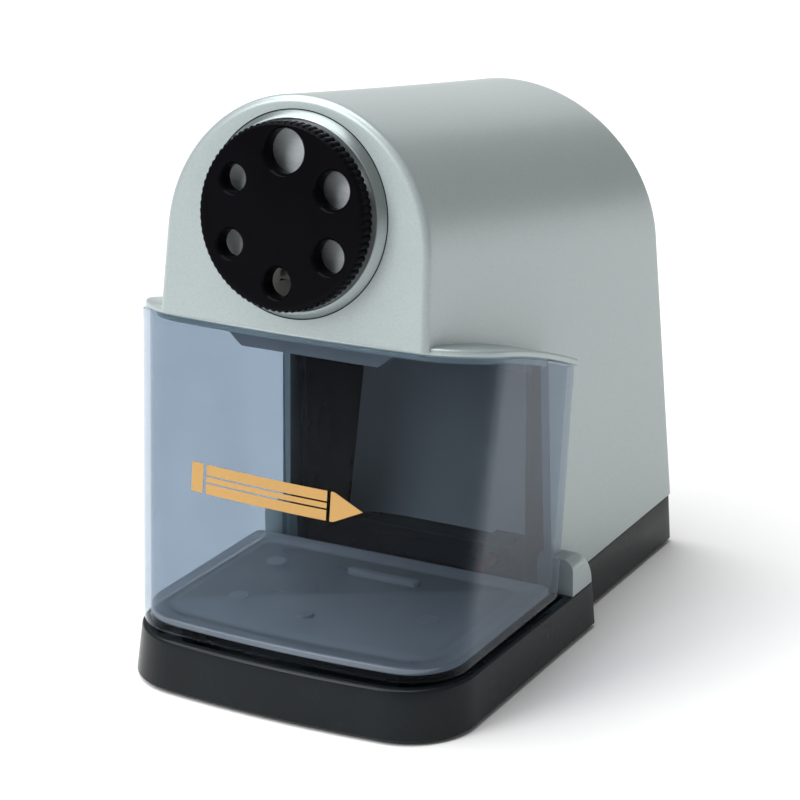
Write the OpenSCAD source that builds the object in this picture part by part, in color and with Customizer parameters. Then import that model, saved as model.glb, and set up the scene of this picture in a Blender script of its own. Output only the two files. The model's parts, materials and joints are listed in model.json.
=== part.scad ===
// Electric desktop pencil sharpener with a six-size selector dial and a slide-out shavings bin.
// X is the width, +Y points to the back, +Z is up. The origin is under the middle of the feet.

/* [Overall] */
// depth of the base from front to back
body_d = 178.8; // [178.8:0.2:215]
// height of the dial axis above the underside of the base, on the front face
dial_z = 141.9; // [139:0.1:146]
// lean of the front face from upright, in degrees
tilt = 8.5; // [7.5:0.5:9.5]
// lean of the back face from upright, in degrees
rear_lean = 9.2; // [7:0.1:10]
// housing wall thickness
wall = 2.6; // [2.2:0.1:3.2]

/* [Arch] */
// outside radius of the arch at the front
arch_r = 41.9; // [41.4:0.1:44]
// outside radius of the arch at the back
arch_rear_r = 47.1; // [45:0.1:48]
// height of the arch centre at the back
arch_rear_z = 106.6; // [104:0.1:112]
// outward flare of the side walls at the front, in degrees
flare = 2.4; // [1.5:0.1:2.8]

/* [Lip and bin] */
// half width of the bin at its top edge
bin_top_w = 58; // [57:0.1:60]
// half width of the bin at its bottom edge
bin_low_w = 52.9; // [52:0.1:54]
// height of the seam between the lip and the bin at the front
lip_z = 108.6; // [107:0.1:109.5]
// thickness of the lip
lip_t = 2.1; // [1.8:0.1:3]
// drop of the lip at its back end
lip_drop = 19.7; // [16:0.1:21]
// bin wall thickness
bin_wall = 2; // [1.6:0.1:2.4]
// travel of the bin when pulled out
bin_travel = 85; // [60:1:100]

/* [Base] */
// height of the front tray rim
tray_h = 14.9; // [14:0.1:15]
// half width of the front tray at the bottom
tray_w = 55.1; // [54.8:0.1:57]
// half width of the narrower back part of the base at the bottom
rear_w = 48.1; // [47.8:0.1:48.6]
// how far the feet stand below the base
foot_h = 1; // [0.8:0.1:2]

/* [Dial] */
// radius of the knurled rim of the dial
dial_r = 26.1; // [25.8:0.1:26.6]
// distance of the pencil holes from the dial axis
hole_pitch_r = 18; // [17.8:0.1:18.2]
// diameters of the pencil holes, clockwise from the top
hole_d = [12.4, 10.6, 9.5, 8.4, 7.9, 7.9];
// number of ridges on the rim
ridges = 80; // [60:1:90]

/* [Cutter] */
// radius of the milling cutter
cutter_r = 7; // [6.5:0.1:7]
// angle between the cutter and the pencil axis, in degrees
cutter_tilt = 11; // [9:0.5:11.5]
// teeth of the fixed ring gear
ring_teeth = 41; // [41:1:41]
// teeth of the cutter gear
cutter_teeth = 13; // [13:1:13]

/* [Drive] */
// gear module of the drive train
drive_m = 0.8; // [0.78:0.01:0.8]
// teeth of the carrier gear
carrier_teeth = 44; // [44:1:44]
// teeth of the small reduction gear
small_teeth = 14; // [14:1:14]
// teeth of the large reduction gear
large_teeth = 40; // [40:1:40]
// teeth of the motor pinion
pinion_teeth = 12; // [12:1:12]
// radius of the motor can
motor_r = 17; // [15:0.1:17.2]
// length of the motor can
motor_l = 49; // [40:1:52]

/* [Hidden] */
$fn = 64;
eps = 0.01;
run = 0.04;                 // radial running clearance of shafts in bores
gap = 0.4;                  // clearance between parts that move apart
arc_n = 32;                 // segments of an arch outline
base_front = -body_d / 2;
base_step = 1.15;           // distance from the foot of the base to the plane of the front face
front_y0 = base_front + base_step;
rear_y0 = body_d / 2 + 2.45;
arch_z = dial_z - 9.45;
rear_flare = 0.5;
tray_top_w = tray_w - 1.2;
rear_top_w = rear_w - 0.8;
tray_end = base_front + 102.9;
tray_rc = 21.5;             // corner radius of the tray in plan
bow = 1.7;                  // bulge of the bowed front in plan
bin_rc = 18.5;              // corner radius of the bin in plan
lip_in = 1;                 // how far the lip stays inside the bin outline
bay_y = base_front + 88.4;  // front edge of the housing below the lip
part_z = 14.4;              // height of the parting line at the front of the housing
part_rise = 1.75;           // rise of the parting line towards the back
bin_z = 16.7;               // bottom edge of the bin
bin_floor_z = 18.2;
bin_floor_t = 2;
bin_end = bay_y - 6.8;      // back edge of the bin at its bottom
bin_end_top = bay_y - 4.7;
bin_back_h = 29.5;          // top of the low back wall of the bin
flange_w = 11;              // width of the two flanges at the back of the bin
skirt_h = 2.4;
skirt_t = 1.8;
skirt_end = bay_y - 16.5;    // the back flanges of the bin pass under the skirt in front of this
deck_z = 12;                // top of the base deck
tray_floor_z = 9.5;

// stations along the pencil axis, measured inwards from the front face
face_y = -8.5;
dial_t = 5.2;
bezel_h = 2.4;
plate_t = 1;
boss_y = 8;
front_plate_y = 11.5;
ring_y = 13.7;
ring_t = 5.6;
head_y = 20;
cut_y0 = 23.2;
cut_l = 23;
head_end = 52;
mid_plate_y = 54;
gear_y = 58;
gear_t = 4;
big_y = 63;
big_t = 3.4;
rear_plate_y = 68;
frame_t = 2;
motor_y = rear_plate_y + frame_t;
wz = -hole_pitch_r;         // height of the working hole relative to the dial axis

ring_m = 1;
cutter_dist = ring_m * (ring_teeth - cutter_teeth) / 2;
cutter_gear_y = ring_y + 2.9;
swing_r = cutter_dist + cutter_r + 0.4;
shroud_r = swing_r + 1.3;
carrier_pr = drive_m * carrier_teeth / 2;
small_pr = drive_m * small_teeth / 2;
large_pr = drive_m * large_teeth / 2;
pinion_pr = drive_m * pinion_teeth / 2;
motor_z = wz + 24;
// the reduction shaft sits where both gear pairs mesh
d_low = carrier_pr + small_pr;
d_high = large_pr + pinion_pr;
red_z = ((d_low * d_low - d_high * d_high) - (wz * wz - motor_z * motor_z)) / (2 * (motor_z - wz));
red_x = sqrt(d_low * d_low - (red_z - wz) * (red_z - wz));
pillars = [[-24, 17], [24, 17], [-27, -28], [27, -28]];
mech_r = arch_r - wall - 0.9;
mech_z = (arch_z - dial_z) / cos(tilt);
screws = [[47, bay_y + 7], [-47, bay_y + 7], [38, body_d / 2 - 12], [-38, body_d / 2 - 12]];

// cord entry, switches and feet
gland_z = 34;
gland_r = 5.4;
lever_x = -11.5;
lever_y = 4.4;
nose_x = -5.2;
nose_y = 7.4;
bsw_x = 26;
bsw_z = deck_z + 4.4;
bin_switch_tip = bin_end + gap + 0.2;
foot_x = 38;
foot_y = [base_front + 24, body_d / 2 - 26];

function fy(z) = front_y0 + z * tan(tilt);
function ry(z) = rear_y0 - z * tan(rear_lean);
function drop_raw(u) = 0.19 * (u - 4 * (1 - exp(-u / 4))) + 0.0018 * u * u;
function lip_at(y) = lip_z - lip_drop / 19.7 * drop_raw(max(0, y - fy(lip_z)));
function arch_pts(r, zc, fl, low) = let (xl = r * cos(fl) + tan(fl) * (zc + r * sin(fl) - low))
    concat([[xl, low]],
           [for (i = [0:arc_n]) let (a = fl + (180 - 2 * fl) * i / arc_n) [r * cos(a), zc + r * sin(a)]],
           [[-xl, low]]);
function half_u(w, yf, b, rc, yend) = concat([[w, yend]],
    [for (i = [0:10]) let (a = 9 * i) [w - rc + rc * cos(a), yf + b + rc - rc * sin(a)]],
    [for (i = [1:5]) let (x = (w - rc) * (1 - i / 6)) [x, yf + b * pow(x / (w - rc), 2)]]);
function mirror_x(p) = [for (i = [len(p) - 1:-1:0]) [-p[i][0], p[i][1]]];
function u_pts(w, yf, b, rc, yend) = let (h = half_u(w, yf, b, rc, yend)) concat(h, [[0, yf]], mirror_x(h));
function gear_pts(n, m, thick, add, ded) = [for (i = [0:n - 1]) for (k = [0:3])
    let (p = 360 / n, w = thick * p / 2,
         r = n * m / 2 + ((k == 1 || k == 2) ? add * m : -ded * m),
         a = i * p + [-w * 1.25, -w * 0.55, w * 0.55, w * 1.25][k]) [r * sin(a), r * cos(a)]];

module stand() { translate([0, 0, foot_h]) children(); }
// places children in the frame of the dial axis: y points inwards, z up along the front face
module on_axis() { stand() translate([0, fy(dial_z), dial_z]) rotate([-tilt, 0, 0]) children(); }
// round bar along the pencil axis from y0 to y1
module rod(r, y0, y1, x = 0, z = 0, r2 = -1) {
    translate([x, y0, z]) rotate([-90, 0, 0]) cylinder(h = y1 - y0, r1 = r, r2 = r2 < 0 ? r : r2);
}
module gear(n, m, y0, t, x, z, turn, thick = 0.42, add = 0.75, ded = 1.15) {
    translate([x, y0 + t, z]) rotate([90, 0, 0]) rotate([0, 0, turn]) linear_extrude(t)
        polygon(gear_pts(n, m, thick, add, ded));
}
module slice(y0, k, pts) {
    multmatrix([[1, 0, 0, 0], [0, 1, k, y0], [0, 0, 1, 0], [0, 0, 0, 1]])
        rotate([90, 0, 0]) linear_extrude(eps) polygon(pts);
}
module arch_solid(inset, low) {
    hull() {
        slice(front_y0 + inset + eps, tan(tilt), arch_pts(arch_r - inset, arch_z, flare, low));
        slice(rear_y0 - inset, -tan(rear_lean), arch_pts(arch_rear_r - inset, arch_rear_z, rear_flare, low));
    }
}
// everything below the lip surface moved by dz, from y0 to y1, over the full width
module below_lip(dz, y0, y1, low = -20) {
    ys = [for (i = [0:20]) y0 + (y1 - y0) * i / 20];
    translate([-80, 0, 0]) rotate([90, 0, 90]) linear_extrude(160)
        polygon(concat([[y0, low]], [for (y = ys) [y, lip_at(y) + dz]], [[y1, low]]));
}
module u_block(w, off, rc, yend, z0, z1) {
    multmatrix([[1, 0, 0, 0], [0, 1, tan(tilt), -lip_z * tan(tilt)], [0, 0, 1, 0], [0, 0, 0, 1]])
        translate([0, 0, z0]) linear_extrude(z1 - z0) polygon(u_pts(w, fy(lip_z) + off, bow, rc, yend));
}
module lip() {
    difference() {
        intersection() {
            u_block(bin_top_w - lip_in, 0, bin_rc, bay_y - 1.6, lip_z - lip_drop - 4, lip_z + lip_t + 1);
            below_lip(lip_t, base_front, bay_y);
        }
        below_lip(0, base_front - 5, bay_y + 2);
    }
}
module skirt() {
    w = bin_top_w - lip_in - bin_wall - gap - 0.8;
    off = bin_wall + gap;
    difference() {
        intersection() {
            u_block(w, off, bin_rc - 2, skirt_end, lip_z - lip_drop - 12, lip_z + lip_t);
            below_lip(1, base_front, bay_y);
        }
        below_lip(-skirt_h, base_front - 5, bay_y + 2);
        u_block(w - skirt_t, off + skirt_t, bin_rc - 3.5, bay_y + 10, lip_z - lip_drop - 20, lip_z + 9);
    }
}
module shoulder(side) {
    h = 11.4;
    l = tray_end - bay_y - 0.8;
    x0 = 40;
    w = tray_top_w - x0;
    translate([0, bay_y + 0.2, part_z - 0.6]) mirror([side < 0 ? 1 : 0, 0, 0]) intersection() {
        translate([x0, 0, 0]) rotate([90, 0, 90]) linear_extrude(w)
            polygon(concat([[0, 0], [l, 0], [l - 1, 3]],
                [for (i = [0:6]) let (a = 15 * i) [l - 9.5 + 8 * cos(a), 3.4 + 8 * sin(a)]], [[0, h]]));
        translate([0, l + 1, 0]) rotate([90, 0, 0]) linear_extrude(l + 2)
            polygon(concat([[x0, 0], [x0 + w, 0], [x0 + w - 0.4, h - 4]],
                [for (i = [0:6]) let (a = 15 * i) [x0 + w - 4 + 3.6 * cos(a), h - 3.6 + 3.6 * sin(a)]], [[x0, h]]));
    }
}
module base_cut() {
    s = part_rise / (body_d / 2 - bay_y);
    translate([-80, 0, 0]) rotate([90, 0, 90]) linear_extrude(160)
        polygon([[base_front - 5, -9], [body_d / 2 + 9, -9], [body_d / 2 + 9, part_z + part_rise + 9 * s],
                 [bay_y, part_z], [bay_y - 2, part_z - 0.6], [base_front - 5, part_z - 0.6]]);
}

module housing() {
    color([0.74, 0.77, 0.76]) {
        stand() difference() {
            union() {
                arch_solid(0, part_z - 4);
                lip();
                shoulder(1);
                shoulder(-1);
            }
            arch_solid(wall, -12);
            below_lip(0, base_front - 5, bay_y);
            base_cut();
            on_back() rod(gland_r + 0.05, -20, 9);
            for (p = screws)
                translate([p[0], p[1], 0]) cylinder(h = part_z + 9, r = 1.25);
            // cooling slots in the back wall
            for (i = [-3:3])
                translate([i * 9 - 1.5, body_d / 2 - 40, 78]) cube([3, 60, 26]);
            on_axis_cut();
        }
        stand() skirt();
        on_axis() dial_boss();
        for (p = pillars)
            on_axis() post(p);
        stand() for (s = [-1, 1])
            floor_boss(s * screws[2][0], screws[2][1]);
    }
}
// places children on the back face at the cord gland: y points out of the housing
module on_back() { translate([0, ry(gland_z), gland_z]) rotate([rear_lean, 0, 0]) children(); }
// holes through the front wall, in the lowered frame
module on_axis_cut() {
    translate([0, fy(dial_z), dial_z]) rotate([-tilt, 0, 0]) {
        rod(7.5, -1, 6, 0, wz);
        rod(4 + run, -1, 12);
        rod(2 + run, -1, 6, 22, 0);
    }
}
module dial_boss() {
    difference() {
        union() {
            rod(8, wall - 0.6, boss_y);
            rod(4, wall - 0.6, 8, 22, 0);
        }
        rod(4 + run, 0, 12);
        rod(2 + run, 0, 7, 22, 0);
    }
}
module post(p) {
    difference() {
        rod(4, wall - 0.6, front_plate_y, p[0], p[1]);
        rod(1.3, 4, 12, p[0], p[1]);
    }
}
module floor_boss(x, y) {
    rib = rear_w - wall / 2 - abs(x);
    difference() {
        union() {
            translate([x, y, deck_z]) cylinder(h = 23, r = 4);
            // rib that ends in the middle of the side wall
            translate([x > 0 ? x : x - rib, y - 1, part_z + 5]) cube([rib, 2, 16]);
        }
        translate([x, y, 0]) cylinder(h = 30, r = 1.25);
    }
}

module dial_bezel() {
    color([0.72, 0.75, 0.75]) on_axis() difference() {
        rod(28.7, -bezel_h, 0, 0, 0, 28.7);
        difference() {
            rod(34, -bezel_h - 1, 1);
            translate([0, -bezel_h, 0]) rotate([-90, 0, 0]) cylinder(h = bezel_h, r1 = 27.1, r2 = 28.7);
        }
        rod(26.3, -bezel_h - 1, 1);
    }
}

module shutter_plate() {
    color([0.62, 0.64, 0.66]) on_axis() difference() {
        rod(26.1, -plate_t, 0);
        rod(6.4, -2, 1, 0, wz);
        rod(4.6, -2, 1);
        rod(2.3, -2, 1, 22, 0);
    }
}

module selector_dial() {
    y1 = face_y + dial_t;
    color([0.05, 0.05, 0.055]) on_axis() difference() {
        union() {
            rod(dial_r - 1.1, face_y, face_y + 0.7, 0, 0, dial_r - 0.4);
            translate([0, y1, 0]) rotate([90, 0, 0]) linear_extrude(dial_t - 0.7)
                polygon([for (i = [0:2 * ridges - 1])
                    let (r = dial_r - (i % 2) * 0.45, a = i * 180 / ridges) [r * sin(a), r * cos(a)]]);
            rod(9.5, y1 - 1, -plate_t - 0.3);
            rod(4, y1 - 1, boss_y + 0.3);
        }
        for (i = [0:5]) {
            a = 60 * i;
            hx = hole_pitch_r * sin(a);
            hz = hole_pitch_r * cos(a);
            rod(hole_d[i] / 2, face_y - 1, y1 + 1, hx, hz);
            rod(hole_d[i] / 2 + 0.65, face_y - eps, face_y + 0.65, hx, hz, hole_d[i] / 2);
        }
        for (i = [0:5])
            translate([22 * sin(60 * i + 30), y1 + 1.3, 22 * cos(60 * i + 30)]) sphere(r = 2.3);
        rod(1.25, 0, 20);
    }
}

module dial_screw() {
    color([0.7, 0.7, 0.72]) on_axis() {
        rod(6.4, boss_y + 0.3, boss_y + 2.3);
        rod(1.25, 1, boss_y + 1);
    }
}

module detent_ball() {
    color([0.75, 0.75, 0.77]) on_axis() translate([22, -1, 0]) sphere(r = 2);
}

module detent_spring() {
    color([0.7, 0.7, 0.72]) on_axis() difference() {
        union() {
            for (i = [0:4])
                translate([22, 1.6 + 1.2 * i, 0]) rotate([-90, 0, 0]) cylinder(h = 0.6, r = 1.7);
            for (a = [0, 180])
                translate([22 + 1.4 * cos(a) - 0.3, 1.6, -0.3]) cube([0.6, 5, 0.6]);
        }
        rod(1.1, 1, 9, 22, 0);
    }
}

module pencil_guide() {
    color([0.85, 0.85, 0.83]) on_axis() difference() {
        union() {
            rod(7.4, 0.2, front_plate_y + frame_t, 0, wz);
            rod(8.9, wall + 0.1, wall + 1.3, 0, wz);
        }
        rod(6.5, -1, 20, 0, wz);
        translate([-9, 4.6, wz - 1.6]) cube([5, 6.2, 3.2]);
    }
}

module frame_outline(y0, low) {
    intersection() {
        translate([-32, y0, low]) cube([64, frame_t, 80]);
        rod(mech_r, y0 - 1, y0 + frame_t + 1, 0, mech_z);
    }
}
module pillar_holes(y0) {
    for (p = pillars)
        rod(1.6, y0 - 1, y0 + frame_t + 1, p[0], p[1]);
}

module front_plate() {
    color([0.6, 0.62, 0.64]) on_axis() difference() {
        frame_outline(front_plate_y, wz - 23);
        rod(7.5, 10, 15, 0, wz);
        pillar_holes(front_plate_y);
    }
}

module mid_plate() {
    color([0.6, 0.62, 0.64]) on_axis() difference() {
        frame_outline(mid_plate_y, wz - 21);
        rod(7, mid_plate_y - 1, mid_plate_y + 4, 0, wz);
        rod(2.5 + run, mid_plate_y - 1, mid_plate_y + 4, red_x, red_z);
        pillar_holes(mid_plate_y);
    }
}

module rear_plate() {
    color([0.6, 0.62, 0.64]) on_axis() difference() {
        frame_outline(rear_plate_y, wz - 21);
        rod(7, rear_plate_y - 1, rear_plate_y + 4, 0, wz);
        rod(2.5 + run, rear_plate_y - 1, rear_plate_y + 4, red_x, red_z);
        rod(5.05, rear_plate_y - 1, rear_plate_y + 4, 0, motor_z);
        for (s = [-1, 1])
            rod(1.6, rear_plate_y - 1, rear_plate_y + 4, s * 12, motor_z);
        pillar_holes(rear_plate_y);
    }
}

module frame_pillars() {
    color([0.75, 0.75, 0.76]) on_axis() for (p = pillars) difference() {
        union() {
            rod(2.5, front_plate_y + frame_t, mid_plate_y, p[0], p[1]);
            rod(2.5, mid_plate_y + frame_t, rear_plate_y, p[0], p[1]);
        }
        rod(1.6, front_plate_y, rear_plate_y + 1, p[0], p[1]);
    }
}

module frame_screws() {
    color([0.7, 0.7, 0.72]) on_axis() for (p = pillars) {
        rod(1.3, 5, rear_plate_y + frame_t + 1, p[0], p[1]);
        rod(3, rear_plate_y + frame_t, rear_plate_y + frame_t + 2, p[0], p[1]);
    }
}

module ring_gear() {
    color([0.6, 0.58, 0.52]) on_axis() difference() {
        rod(23.2, front_plate_y + frame_t, ring_y + ring_t, 0, wz);
        translate([0, ring_y + ring_t + 1, wz]) rotate([90, 0, 0]) linear_extrude(ring_t + 3)
            polygon([for (i = [0:ring_teeth - 1]) for (k = [0:3])
                let (p = 360 / ring_teeth, a = (i + [-0.4, -0.22, 0.22, 0.4][k]) * p,
                     r = ring_m * ring_teeth / 2 + ((k == 1 || k == 2) ? 1.5 : -0.7)) [r * sin(a), r * cos(a)]]);
    }
}

// places children with y along the cutter axis, starting in the plane of the cutter gear
module on_cutter() {
    on_axis() translate([0, cutter_gear_y, wz + cutter_dist]) rotate([-cutter_tilt, 0, 0]) children();
}

module cutter_carrier() {
    color([0.55, 0.56, 0.58]) difference() {
        union() {
            on_axis() {
                rod(swing_r, head_y, head_y + 2.4, 0, wz);
                rod(swing_r - 2, head_end - 3, head_end, 0, wz);
                rod(5, head_end - 1, rear_plate_y + frame_t, 0, wz);
                rod(7.2, mid_plate_y + frame_t + 0.4, gear_y, 0, wz);
                for (s = [-1, 1]) intersection() {
                    rod(swing_r - 2, head_y, head_end, 0, wz);
                    translate([s * 14.5 - 2, head_y, wz - 8]) cube([4, head_end - head_y, 16]);
                }
            }
        }
        on_axis() rod(6.6, head_y - 1, head_y + 4, 0, wz);
        on_cutter() rod(2.5 - eps, -6, 60);
        on_cutter() rod(3.2 + run, 1, 9);
    }
}

module helical_cutter() {
    l0 = (cut_y0 - cutter_gear_y) / cos(cutter_tilt) + 1.2;
    color([0.6, 0.6, 0.62]) on_cutter() difference() {
        union() {
            translate([0, l0 + cut_l, 0]) rotate([90, 0, 0])
                linear_extrude(cut_l, twist = 110, slices = 24) polygon([for (i = [0:23])
                    let (r = (i % 2 == 0) ? cutter_r : cutter_r - 1, a = i * 15 - (i % 2 == 0 ? 0 : 5))
                    [r * cos(a), r * sin(a)]]);
            rod(3.2, 1.3, l0 + 1);
        }
        rod(2.5 + run, -2, l0 + cut_l + 2);
    }
}

module cutter_gear() {
    color([0.5, 0.5, 0.52]) on_cutter() difference() {
        intersection() {
            gear(cutter_teeth, ring_m, -1.2, 2.4, 0, 0, 0, 0.40, 0.62, 1.15);
            rod(6.85, -1.3, 1.3, 0, 0, 7.35);
        }
        rod(2.5 + run, -3, 3);
    }
}

module cutter_pin() {
    l1 = (head_end - 0.5 - cutter_gear_y) / cos(cutter_tilt);
    color([0.72, 0.72, 0.74]) on_cutter() rod(2.5 - eps, -1.3, l1 - 1.5);
}

module carrier_gear() {
    color([0.82, 0.8, 0.72]) on_axis() difference() {
        gear(carrier_teeth, drive_m, gear_y, gear_t, 0, wz, 0);
        rod(5, gear_y - 1, gear_y + gear_t + 1, 0, wz);
    }
}

module carrier_bushes() {
    color([0.72, 0.56, 0.3]) on_axis() difference() {
        union() {
            rod(7, mid_plate_y, mid_plate_y + frame_t, 0, wz);
            rod(7, rear_plate_y, rear_plate_y + frame_t, 0, wz);
            rod(8.2, rear_plate_y - 0.8, rear_plate_y, 0, wz);
        }
        rod(5 + run, mid_plate_y - 2, rear_plate_y + 6, 0, wz);
    }
}

module cutter_shroud() {
    color([0.1, 0.1, 0.11]) on_axis() difference() {
        rod(shroud_r + 1.6, ring_y + ring_t + 0.4, mid_plate_y, 0, wz);
        rod(shroud_r, ring_y, mid_plate_y - 1.2, 0, wz);
        rod(12, ring_y, mid_plate_y + 2, 0, wz);
        translate([-40, 0, wz - 60]) cube([80, mid_plate_y - 1.2, 49]);
    }
}

module reduction_gear() {
    a = atan2(red_x, red_z - wz);
    big_a = atan2(-red_x, motor_z - red_z);
    color([0.85, 0.83, 0.76]) on_axis() difference() {
        union() {
            // both gears sit in mesh: the small one with the carrier gear, the large one with the pinion
            gear(small_teeth, drive_m, gear_y - 0.4, big_y - gear_y + 0.4 + eps, red_x, red_z,
                 mesh_turn(a, carrier_teeth, small_teeth, 0));
            gear(large_teeth, drive_m, big_y, big_t, red_x, red_z, -big_a);
        }
        rod(2.5, gear_y - 2, big_y + 6, red_x, red_z);
    }
}
// turn of a gear so that a tooth gap faces the tooth of its mate along direction a
function mesh_turn(a, n1, n2, t1) = -(a + 180) - 180 / n2 - (a + t1 - round((a + t1) * n1 / 360) * 360 / n1) * n1 / n2;

module reduction_shaft() {
    color([0.7, 0.7, 0.72]) on_axis() rod(2.5, mid_plate_y + 0.1, rear_plate_y + frame_t + 0.4, red_x, red_z);
}

module motor_can() {
    color([0.66, 0.67, 0.68]) on_axis() difference() {
        union() {
            rod(motor_r, motor_y, motor_y + motor_l, 0, motor_z);
            rod(5, motor_y - 1.6, motor_y + 1, 0, motor_z);
        }
        rod(motor_r - 3.2, motor_y + 2, motor_y + motor_l + 1, 0, motor_z);
        rod(1.6 + run, motor_y - 4, motor_y + 4, 0, motor_z);
        for (s = [-1, 1])
            rod(1.3, motor_y - 1, motor_y + 4, s * 12, motor_z);
    }
}

module motor_end_cap() {
    y0 = motor_y + motor_l;
    color([0.12, 0.12, 0.13]) on_axis() difference() {
        union() {
            rod(motor_r - 0.4, y0, y0 + 5, 0, motor_z);
            for (s = [-1, 1])
                translate([s * 10 - 2.4, y0 + 4, motor_z - 0.4]) cube([4.8, 6, 0.8]);
        }
        rod(1.6 + run, y0 - 2, y0 + 3.6, 0, motor_z);
    }
}

module motor_armature() {
    y0 = motor_y + 7;
    color([0.45, 0.4, 0.38]) on_axis() difference() {
        union() {
            for (i = [0:4]) rotate_about(motor_z, i * 72)
                translate([-2.8, y0 + 1, motor_z + 4]) cube([5.6, motor_l - 22, 8.4]);
            rod(6.5, y0, motor_y + motor_l - 5, 0, motor_z);
        }
        rod(1.6, y0 - 2, motor_y + motor_l, 0, motor_z);
    }
}
module rotate_about(z, a) { translate([0, 0, z]) rotate([0, a, 0]) translate([0, 0, -z]) children(); }

module motor_shaft() {
    color([0.72, 0.72, 0.74]) on_axis() rod(1.6, big_y - 0.6, motor_y + motor_l + 3, 0, motor_z);
}

module motor_pinion() {
    a = atan2(-red_x, motor_z - red_z);
    color([0.75, 0.6, 0.32]) on_axis() difference() {
        gear(pinion_teeth, drive_m, big_y, big_t + 0.4, 0, motor_z, -(a + 180) - 180 / pinion_teeth);
        rod(1.6, big_y - 1, big_y + 8, 0, motor_z);
    }
}

module motor_screws() {
    color([0.7, 0.7, 0.72]) on_axis() for (s = [-1, 1]) {
        rod(1.3, rear_plate_y - 1, motor_y + 2, s * 12, motor_z);
        rod(2.6, rear_plate_y - 1.2, rear_plate_y, s * 12, motor_z);
    }
}

module start_lever() {
    a = atan2(nose_y - lever_y, nose_x - lever_x);
    l = norm([nose_x - lever_x, nose_y - lever_y]);
    color([0.9, 0.9, 0.88]) on_axis() difference() {
        union() {
            translate([lever_x, lever_y, wz - 1.2]) cylinder(h = 2.4, r = 1.6);
            translate([nose_x, nose_y, wz - 1.2]) cylinder(h = 2.4, r = 1.2);
            translate([lever_x, lever_y, wz - 1.2]) rotate([0, 0, a]) translate([1.2, -0.8, 0]) cube([l - 1.2, 1.6, 2.4]);
        }
        translate([lever_x, lever_y, wz - 3]) cylinder(h = 6, r = 0.8 + run);
    }
}

module lever_pin() {
    color([0.72, 0.72, 0.74]) on_axis() {
        translate([lever_x, lever_y, wz - 3.4]) cylinder(h = 6.8, r = 0.8);
        for (z = [-3.9, 3])
            translate([lever_x - 1, wall, wz + z]) cube([2, lever_y - wall + 1, 0.9]);
    }
}

module start_switch() {
    color([0.1, 0.1, 0.11]) on_axis() difference() {
        translate([-16.5, 8.2, wz - 3]) cube([8.8, front_plate_y - 8.2, 6]);
        translate([-10.65, 7, wz - 1.35]) cube([2.3, 4.2, 2.7]);
        rod(1, 2, 13, -14, wz);
    }
}

module start_plunger() {
    color([0.62, 0.62, 0.64]) on_axis() translate([-10.3, 6.95, wz - 1]) cube([1.6, 2.95, 2]);
}

module bin_switch() {
    color([0.1, 0.1, 0.11]) stand() difference() {
        translate([bsw_x - 5, bay_y + 3, bsw_z]) cube([10, 12, 8]);
        translate([bsw_x - 1.5, bay_y + 2, bsw_z + 2.7]) cube([3, 9, 3]);
        for (s = [-1, 1])
            translate([bsw_x + s * 3.3, bay_y + 11, bsw_z - 1]) cylinder(h = 10, r = 0.8);
    }
}

module bin_plunger() {
    color([0.85, 0.85, 0.82]) stand()
        translate([bsw_x - 1.2, bin_switch_tip, bsw_z + 3]) cube([2.4, bay_y + 8.5 - bin_switch_tip, 2.4]);
}

module bay_liner() {
    w = arch_r + 0.3 - wall;
    y0 = bay_y + 0.6;
    z0 = deck_z + 2.6;
    z1 = 84;
    yb = y0 + 32;
    lean = 16;
    color([0.2, 0.2, 0.21]) stand() difference() {
        liner_block(w, y0, yb, z0, z1, lean, 0);
        liner_block(w, y0 - 5, yb, z0, z1, lean, 1.8);
    }
}
module liner_block(w, y0, yb, z0, z1, lean, t) {
    translate([-w + t, 0, 0]) rotate([90, 0, 90]) linear_extrude(2 * (w - t))
        polygon([[y0, z0 + t], [yb - t, z0 + t], [yb + lean - t, z1 - t], [y0, z1 - t]]);
}

module transformer() {
    y0 = bay_y + 52;
    color([0.4, 0.38, 0.36]) stand() {
        difference() {
            translate([-24, y0, deck_z]) cube([48, 20, 42]);
            for (s = [-1, 1])
                translate([s * 12 - 5, y0 - 1, deck_z + 9]) cube([10, 22, 24]);
        }
        translate([-18, y0 - 4, deck_z + 9.5]) cube([36, 28, 23]);
    }
}

module power_board() {
    z = 66;
    color([0.1, 0.3, 0.15]) stand() {
        translate([-30, bay_y + 53, z]) cube([60, 24, 1.6]);
        translate([-18, bay_y + 65, z + 1.6 - eps]) cylinder(h = 11, r = 5);
        translate([4, bay_y + 58, z + 1.6 - eps]) cube([14, 12, 7]);
    }
    color([0.1, 0.3, 0.15]) stand() for (s = [-1, 1])
        translate([s * 27, bay_y + 65, deck_z]) cylinder(h = z - deck_z + eps, r = 2);
}

module cord_gland() {
    color([0.06, 0.06, 0.065]) stand() on_back() difference() {
        union() {
            rod(gland_r, -9, 0.1);
            rod(gland_r + 1.7, 0, 1.7);
        }
        rod(3, -10, 3);
    }
}

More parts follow.
